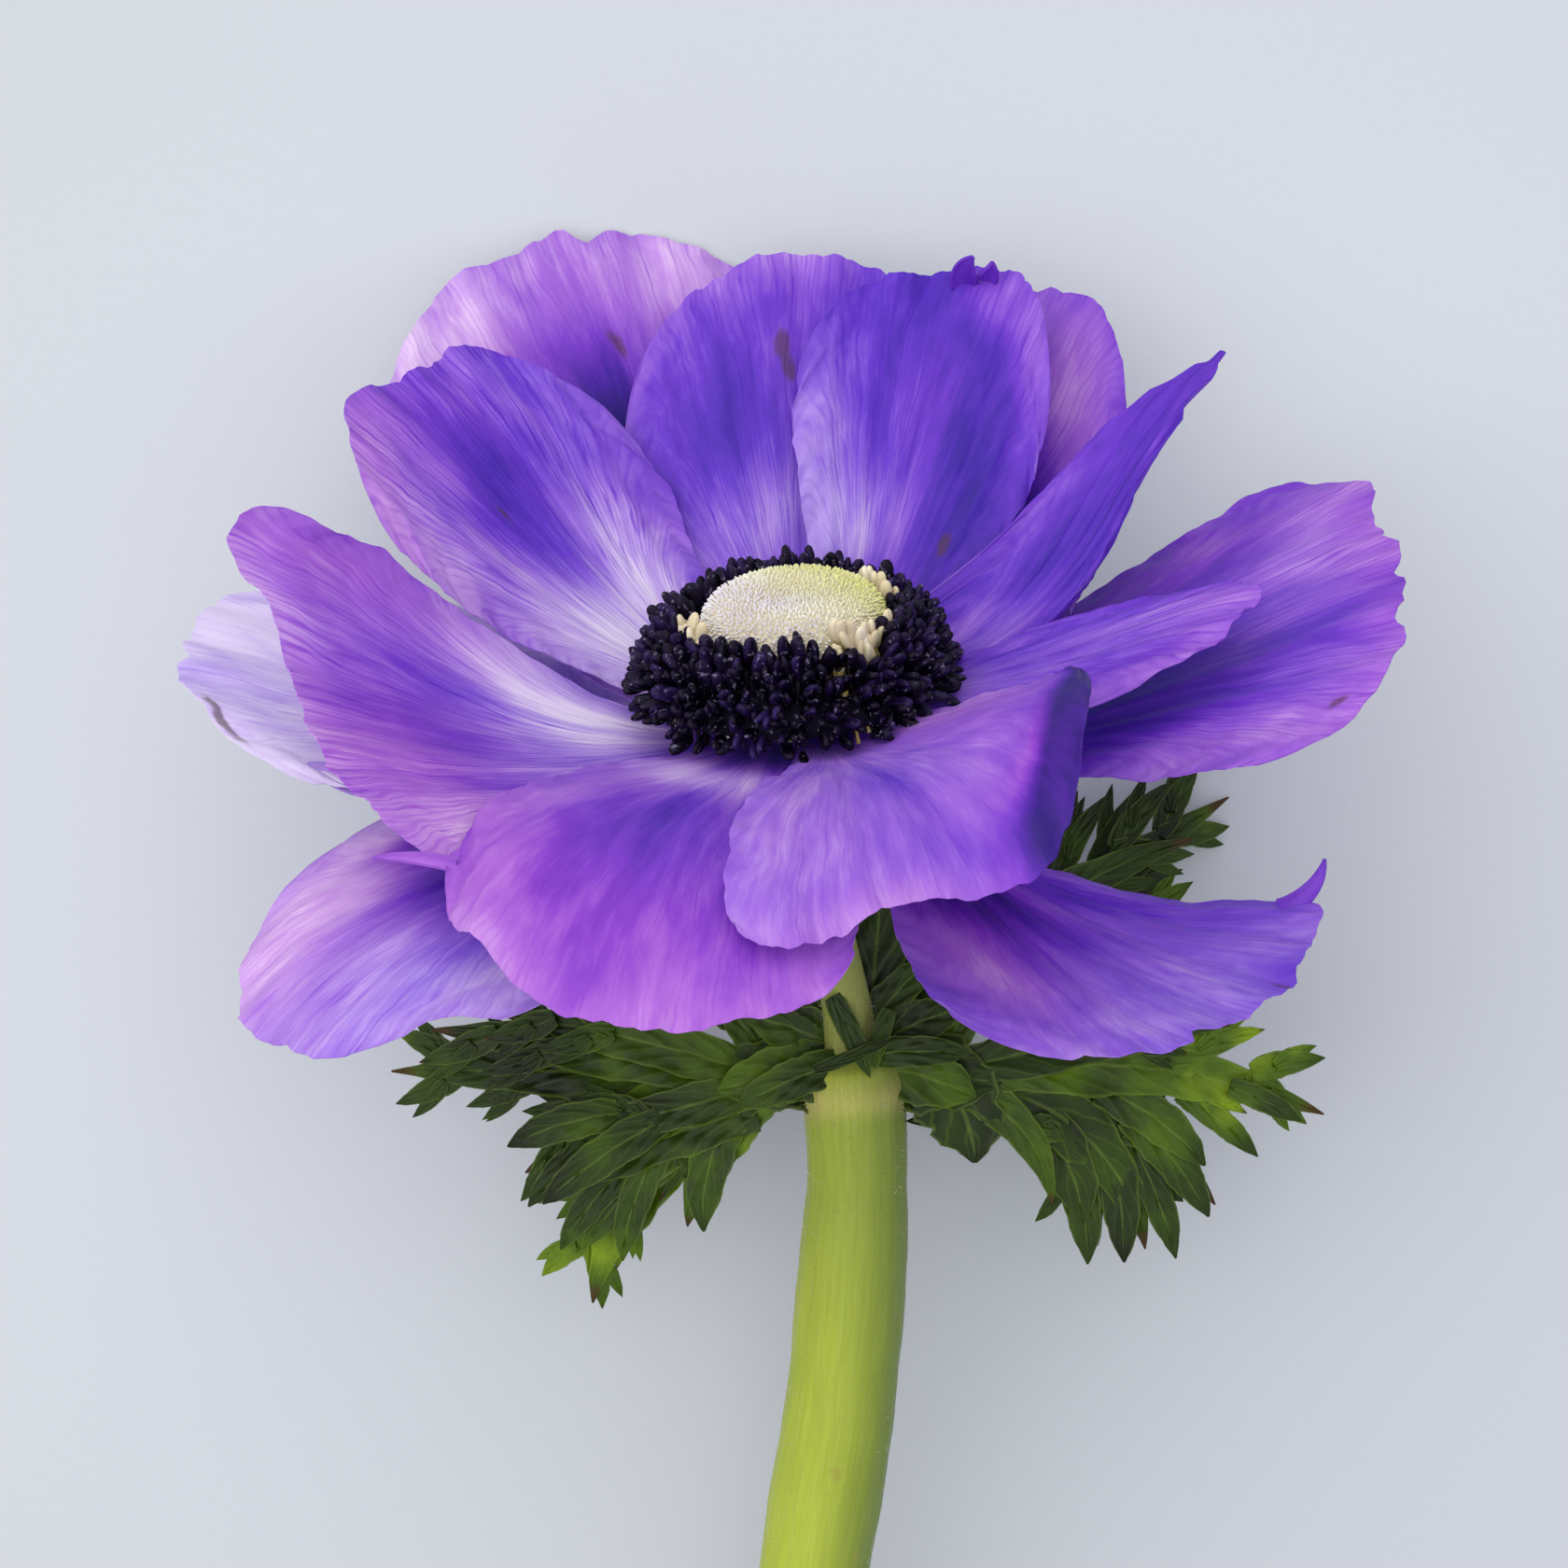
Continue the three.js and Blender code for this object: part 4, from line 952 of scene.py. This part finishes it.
def stem_material(name):
    n = Nodes(name)
    uv, place = n.fan_uv(), n.place()
    collar, under, stalk, shaded = n.tones()
    fibre = n.noise(uv, (60, 14, 1), detail=4.0)
    thread = n.noise(uv, (190, 12, 1), detail=2.0)
    cloud = n.noise(place, (90, 45, 90), detail=4.0)
    speck = n.noise(place, (420, 300, 420), (7, 3, 1), 2.0)
    colour = n.blend(n.band(cloud, 0.3, 0.7), "#96a412", "#a3ae20")
    colour = n.blend(n.band(fibre, 0.35, 0.7, 0.0, 0.35), colour, "#82922a")
    colour = n.blend(n.band(thread, 0.5, 0.75, 0.0, 0.3), colour, "#b7c35e")
    # painted shade on the side away from the light and painted shadow below the collar
    colour = n.blend(n.times(shaded, 0.95), colour, "#596c06")
    colour = n.blend(n.times(under, 0.3), colour, "#5f741a")
    colour = n.blend(n.times(stalk, 0.8), colour, "#7c8038")
    blush = n.band(n.times_plus(cloud, 0.9, collar), 0.7, 1.5, 0.0, 0.8)
    colour = n.blend(blush, colour, "#c09a78")
    colour = n.blend(n.band(speck, 0.68, 0.78, 0.0, 0.4), colour, "#8c7a2c")
    height = n.times_plus(fibre, 0.6, n.times(speck, 0.4))
    inputs = {
        "Base Color": colour,
        "Roughness": n.band(fibre, 0.3, 0.7, 0.45, 0.62),
        "Normal": n.bump(height, 0.0003, 0.6),
        "Subsurface Weight": 0.12,
        "Subsurface Radius": (0.0012, 0.0016, 0.0006),
        "Sheen Weight": 0.08,
    }
    return n.finish(inputs)


def cut_material(name):
    n = Nodes(name)
    pith = n.noise(n.place(), 700)
    colour = n.blend(n.band(pith, 0.35, 0.65), "#c9d08c", "#a9b565")
    return n.finish({"Base Color": colour, "Roughness": 0.5, "Normal": n.bump(pith, 0.0003, 0.7)})


def fuzz_material(name):
    n = Nodes(name)
    colour = n.blend(n.tones()[1], "#a9b45c", "#f2f2e2")
    return n.finish({"Base Color": colour, "Roughness": 0.5}, 0.4)


stem.build("stem_skin", [stem_material("stem_skin"), cut_material("stem_cut")], "stem", "stem_green")

spot = rng.uniform(FIRST_HAIRY_STATION * STEM_STEPS, rows - 2, HAIR_COUNT)
low = np.floor(spot).astype(int)
direction = stem_ring(rng.uniform(0, TURN, HAIR_COUNT), low)
f = (spot - low)[:, None]
middle = centres[low] * (1 - f) + centres[low + 1] * f
reach = radii[low] * (1 - f[:, 0]) + radii[low + 1] * f[:, 0] - 0.06
roots = middle + direction * reach[:, None] + BLOOM_CENTRE
stray = rng.normal(-0.15, 0.35, HAIR_COUNT)[:, None]
axes = unit(direction + along[low] * stray + rng.normal(0, 0.25, (HAIR_COUNT, 3)))
lengths = rng.uniform(*HAIR_LENGTHS, HAIR_COUNT)
made = bristles(roots, axes, lengths, HAIR_RADIUS, [[0, 1], [0.6, 0.6]], circle(3))
made[0][:, 2] = np.maximum(made[0][:, 2], 0.03)
shade = np.repeat(rng.uniform(0, 1, HAIR_COUNT), 8)
fuzz = Soup()
add_bristles(fuzz, made, np.stack([made[3], shade, 0 * shade], -1))
fuzz.build("stem_fuzz", [fuzz_material("stem_fuzz")], "stem", "stem_green", 80)


# ---------------------------------------------------------------- leaves
TOOTH_WIDTH = 2.2
TOOTH_ANGLE = 33
LOBE_STEPS = 5
BLADE_COLUMNS = 10
BLADE_THICKNESS = 0.34
MARGIN_THINNING = 0.16
LOWEST_BLADE = 0.3
LOBE_OUTLINE = [0.6, 0.78, 0.95, 1.0, 0.9, 0.7, 0.4, 0.03]
TOOTH_OUTLINE = [0.6, 0.95, 1.0, 0.9, 0.7, 0.42, 0.03]
FINGER_OUTLINE = [0.8, 1.0, 1.05, 1.0, 0.9, 0.6, 0.06]
LEAF_FACE = [(0.0, "#141d01"), (0.35, "#2b4002"), (0.65, "#4e6a06"), (1.0, "#8ea818")]
LEAF_UNDER = [(0.0, "#33481a"), (0.5, "#5c7636"), (1.0, "#8ea462")]
# lobes are heading, climb, length, turn, droop, width, pairs of teeth, tooth
LEAVES = {
    "leaf_left": dict(root=[-0.9, -30.6, -14.5], lobes=[
        (168, 6, 29, 8, 30, 4.4, 2, 7), (176, -6, 32, 6, 10, 4.6, 3, 7), (186, 4, 23.5, 30, 40, 4.4, 2, 7),
        (200, -12, 26, 62, 10, 5.2, 3, 7), (214, -4, 15, 48, 24, 3.8, 0, 0),
        (208, 2, 14.5, 34, 30, 2.2, 1, 3), (160, 16, 24, 14, 44, 3.8, 2, 6),
        (192, 18, 19, 6, 50, 3.4, 2, 6), (122, 14, 10, 10, 10, 3, 1, 4),
    ]),
    "leaf_right": dict(root=[10.3, -30.4, -14.5], lobes=[
        (12, 2, 33, -36, 20, 4.8, 3, 7), (6, -8, 27.5, -62, 10, 4.6, 1, 4),
        (2, -2, 25.5, -84, 24, 5.0, 2, 5), (-2, -12, 22.5, -88, 10, 3.8, 1, 4),
        (-6, 4, 15.5, -80, 20, 3.2, 1, 3), (-30, -6, 7.5, -50, 10, 4.6, 0, 0),
        (18, 10, 26, -16, 30, 4.2, 2, 6), (58, 12, 12, 10, 10, 3, 1, 4),
    ]),
    "leaf_back": dict(root=[7.0, -29.4, -17.9], lobes=[
        (54, -16, 34.5, -40, 12, 4.4, 3, 9), (42, -22.5, 41, -12, 12, 4.4, 3, 9),
        (38, -20, 31, -36, 10, 4.4, 3, 8),
    ]),
}


def add_blade(soup, spine, width, outline, seed, shade, brown=0, sink=0):
    """A blade along a spine with a sunk midrib, pointed at its tip; sink hides its foot below."""
    points, side, ahead = spine[:3]
    steps = len(points) - 1
    up = np.cross(ahead, side)
    place = np.linspace(0, 1, steps + 1)[:, None]
    half = width / 2 * ease(outline, place) * (1 + 0.02 * width * waves(place * 7, seed))
    t = np.linspace(-1, 1, BLADE_COLUMNS + 1)
    cup = 0.10 * half * np.abs(t) ** 1.6 + 0.08 * half * waves(place * 6 + 2 * t, seed + 1)
    rib = 0.12 * np.exp(-((t / 0.14) ** 2)) * np.minimum(half, 1)
    rise = cup - rib - sink * (1 - smooth(0.35, 0.75, place))
    grid = points[:, None] + side[:, None] * (half * t)[..., None] + up[:, None] * rise[..., None]
    grid[..., 2] = np.maximum(grid[..., 2], LOWEST_BLADE)
    thickness = (BLADE_THICKNESS - MARGIN_THINNING * np.abs(t)) * np.minimum(1, 0.35 + half)
    length = np.linalg.norm(points[1] - points[0]) * steps
    uv = np.stack(np.broadcast_arrays(t * 0.5 + 0.5, place * length / 10), -1)
    tip = smooth(0.88, 1.0, place) * brown
    tone = np.stack(np.broadcast_arrays(tip, shade, half / 3 + 0 * t), -1)
    soup.add_slab(grid, thickness, uv, tone)


def leaf_material(name, stops):
    n = Nodes(name)
    tip, shade, broad = n.tones()[:3]
    place = n.place()
    split = n.parts(n.fan_uv())
    across = n.calc("ABSOLUTE", n.times_plus(split[0], 2.0, -1.0))
    cloud = n.noise(place, 170, detail=4.0)
    patch = n.noise(place, 60, (2, 5, 1), 2.0)
    fine = n.noise(place, 900, detail=2.0)
    slant = n.times_plus(across, -0.5, split[1])
    side_vein = n.calc("SINE", n.times_plus(cloud, 9.0, n.times(slant, 22.0)))
    level = n.times_plus(shade, 0.4, n.times_plus(cloud, 1.1, -0.75))
    level = n.times_plus(patch, 1.3, level)
    colour = n.ramp(n.minus(level, 0.26), stops)
    colour = n.blend(n.times(n.band(side_vein, 0.75, 1.0, 0.0, 0.12), broad), colour, "#86a02c")
    rib = n.times(n.band(across, 0.1, 0.02, 0.0, 0.28), n.band(broad, 0.1, 0.4))
    colour = n.blend(rib, colour, "#7f9a38")
    # painted highlight: lighter along the blade margins
    colour = n.blend(n.band(across, 0.88, 1.0, 0.0, 0.25), colour, "#8ba43e")
    colour = n.blend(n.band(tip, 0.2, 0.9, 0.0, 0.8), colour, "#4c2814")
    height = n.times_plus(fine, 0.4, n.times(side_vein, 0.2))
    inputs = {
        "Base Color": colour,
        "Roughness": n.band(cloud, 0.3, 0.7, 0.36, 0.52),
        "Normal": n.bump(height, 0.0003, 0.5),
        "Specular IOR Level": 0.25,
    }
    return n.finish(inputs, 0.18)


def add_lobe(soup, start, lobe, seed):
    """A lobe with its pairs of teeth, each tooth with a smaller one at its outer side."""
    heading, climb, length, turn, droop, width, pairs, tooth = lobe
    chance = np.random.default_rng(seed)
    shade = chance.uniform(0, 1)
    coarse = blade_spine(start, heading, climb, length, turn, droop, LOBE_STEPS)
    spine = blade_spine(start, heading, climb, length, turn, droop, 30)
    add_blade(soup, spine, width, LOBE_OUTLINE, seed, shade, 1)
    for pair in range(pairs):
        for hand in (-1, 1):
            seed += 1
            place = 0.5 + 0.36 * (pair + (0.4 if hand > 0 else 0)) / pairs
            base = int(math.floor(place * LOBE_STEPS + 0.5))
            yaw = coarse[3][base] + hand * TOOTH_ANGLE
            pitch = coarse[4][base] + 4 * hand
            size = tooth * (1.3 - 0.6 * place) * chance.uniform(1.05, 1.25)
            spine = blade_spine(coarse[0][base], yaw, pitch, size, -hand * 14, 14, 16)
            add_blade(soup, spine, TOOTH_WIDTH, TOOTH_OUTLINE, seed, shade, chance.choice([0, 0, 1]), 0.5)
            away = spine[3][5] + hand * chance.uniform(20, 30)
            small = blade_spine(spine[0][5], away, spine[4][5], size * 0.62, -hand * 20, 10, 10)
            add_blade(soup, small, TOOTH_WIDTH * 0.6, TOOTH_OUTLINE, seed + 40, shade, 0, 0.25)


# blades round the collar and at the lobes' ends: start, heading, climb, length, turn, droop, width
FINGERS = {
    "leaf_left": [
        ([4.0, -30.2, -13.4], 174, 4, 11, 6, 14, 5.6), ([3.6, -29.2, -12.4], 186, 14, 10, 10, 30, 4.6),
        ([4.2, -28.2, -12.4], 150, 12, 9, 20, 20, 4.0), ([4.0, -27.4, -12.2], 118, 6, 8, 24, 10, 3.2),
        ([3.4, -28.9, -11.2], 196, 20, 9, 16, 50, 3.0), ([1.5, -29.3, -8.9], 18, 6, 7, 8, 16, 1.0),
        ([2.9, -23.6, -9.2], -62, -4, 7, -6, -4, 1.7), ([-4.5, -32.3, -14.6], 236, -6, 11, 40, 10, 3.3),
        ([-5.0, -33.0, -15.4], 202, -6, 17, 30, 16, 4.0), ([-7.5, -34.2, -15.8], 216, -8, 14, 22, 10, 3.2),
        ([-3.0, -32.8, -14.6], 192, 0, 18.5, 20, 24, 4.0),
        ([-10.5, -35.5, -16.0], 238, -8, 10.5, 28, 14, 2.6),
        ([-12.5, -34.5, -15.5], 198, -4, 11, 36, 14, 2.8),
        ([-13.0, -37.0, -16.6], 222, -8, 9.5, 20, 14, 2.4),
        ([-14.0, -33.0, -14.0], 186, 6, 9.5, 24, 34, 2.8), ([-10.5, -33.5, -13.6], 208, 8, 12, 16, 36, 3.0),
    ],
    "leaf_right": [
        ([5.4, -30.0, -13.4], 2, 4, 11, -10, 14, 5.6), ([5.8, -29.0, -12.4], -8, 12, 9, -20, 30, 4.6),
        ([5.2, -28.2, -12.4], 34, 12, 9, -20, 20, 3.8), ([5.2, -27.4, -12.2], 62, 8, 9, -26, 10, 3.0),
        ([6.0, -28.2, -11.0], 8, 22, 8, -16, 50, 2.4), ([9.4, -28.4, -13.4], -34, -4, 10.5, -56, 16, 6.6),
        ([15.4, -33.8, -16.6], 176, 0, 6.6, 8, 8, 1.4), ([15.0, -34.2, -17.0], -84, -6, 3.0, -70, 10, 1.2),
        ([7.4, -24.6, -10.0], -112, -6, 5.5, 14, 0, 1.4), ([5.6, -27.0, -12.8], 82, 4, 12.5, 6, 4, 4.8),
        ([7.2, -27.0, -13.4], 68, 4, 12, 4, 6, 4.6), ([26.4, -33.2, -16.6], -40, -8, 11, -24, 10, 3.0),
        ([26.6, -35.0, -17.4], -62, -10, 11, -14, 8, 2.5),
        ([25.2, -35.0, -17.4], -80, -8, 10.5, -8, 8, 3.0),
        ([21.0, -34.6, -17.2], -66, -8, 11.4, -24, 10, 3.0),
        ([21.6, -37.2, -18.2], -96, -10, 5.6, -44, 8, 1.3),
        ([30.5, -31.4, -16.6], -32, -6, 8.4, -16, 8, 2.0),
        ([34.5, -31.0, -16.2], -20, -2, 6.4, -12, 6, 1.8),
        ([17.5, -32.0, -15.8], -38, -4, 12, -50, 14, 4.2),
        ([24.0, -31.0, -15.6], -22, -4, 11, -30, 12, 3.4),
    ],
}
leaf_skins = [leaf_material("leaf_face", LEAF_FACE), leaf_material("leaf_under", LEAF_UNDER)]
for leaf_index, (name, leaf) in enumerate(LEAVES.items()):
    soup = Soup()
    start = np.array(leaf["root"]) + BLOOM_CENTRE
    for lobe_index, lobe in enumerate(leaf["lobes"]):
        add_lobe(soup, start, lobe, 1000 + leaf_index * 300 + lobe_index * 20)
    for index, (start, *course, width) in enumerate(FINGERS.get(name, [])):
        spine = blade_spine(np.array(start) + BLOOM_CENTRE, *course, 24)
        seed = 2000 + leaf_index * 50 + index
        add_blade(soup, spine, width, FINGER_OUTLINE, seed, index * 0.37 % 0.6)
    soup.build(f"{name}_blades", leaf_skins, name, "leaf_green", 60)


# ---------------------------------------------------------------- stage
FLOOR_REACH = 6
SKY_COLOUR = (0.93, 0.96, 1.0, 1)
SKY_STRENGTH = 0.8
# suns stand in for wide soft boxes: direction, strength, angle across in degrees, colour
SUNS = {
    "key": ((-0.5, 0.5, 1.0), 2.2, 95, (1.0, 0.985, 0.96)),
    "fill": ((0.3, -0.9, 0.7), 0.7, 120, (0.96, 0.98, 1.0)),
}


def floor_material():
    """Plain pale grey with painted light falloff: a little darker towards +X and away from the bloom."""
    n = Nodes("floor")
    place = n.place()
    grain = n.noise(place, 1200, detail=1.0)
    # painted light falloff: a little darker towards +X, and darker the further from the bloom
    colour = n.blend(n.band(n.parts(place)[0], -0.1, 0.1), "#bfc2c7", "#bcbfc5")
    apart = n.put("ShaderNodeVectorMath", {0: place, 1: (0, 0.06, 0)}, operation="DISTANCE")
    colour = n.blend(n.band(apart.outputs["Value"], 0.02, 0.22, 0.0, 0.7), colour, "#9a9ea4")
    colour = n.blend(n.band(grain, 0.3, 0.7, 0.0, 0.04), colour, "#a9acb1")
    return n.finish({"Base Color": colour, "Roughness": 0.95, "Specular IOR Level": 0.1})


mesh = bpy.data.meshes.new("floor")
corners = [(x * FLOOR_REACH, y * FLOOR_REACH, 0) for x, y in ((-1, -1), (1, -1), (1, 1), (-1, 1))]
mesh.from_pydata(corners, [], [(0, 1, 2, 3)])
mesh.materials.append(floor_material())
floor = link("floor", mesh)

world = bpy.data.worlds.new("studio")
world.use_nodes = True
sky = world.node_tree.nodes["Background"].inputs
sky["Color"].default_value = SKY_COLOUR
sky["Strength"].default_value = SKY_STRENGTH
bpy.context.scene.world = world

for name, (direction, strength, angle, colour) in SUNS.items():
    light = bpy.data.lights.new(name, "SUN")
    light.energy = strength
    light.angle = math.radians(angle)
    light.color = colour
    link(name, light).rotation_euler = Vector(direction).to_track_quat("Z", "Y").to_euler()

# straight above, with a long lens
lens = bpy.data.cameras.new("camera")
lens.lens = 135
lens.sensor_width = 36
lens.clip_start = 0.01
lens.clip_end = 50
camera = link("camera", lens)
camera.location = (-0.00043, 0.05971, 0.48788)
bpy.context.scene.camera = camera
bpy.context.scene.view_settings.view_transform = "Standard"
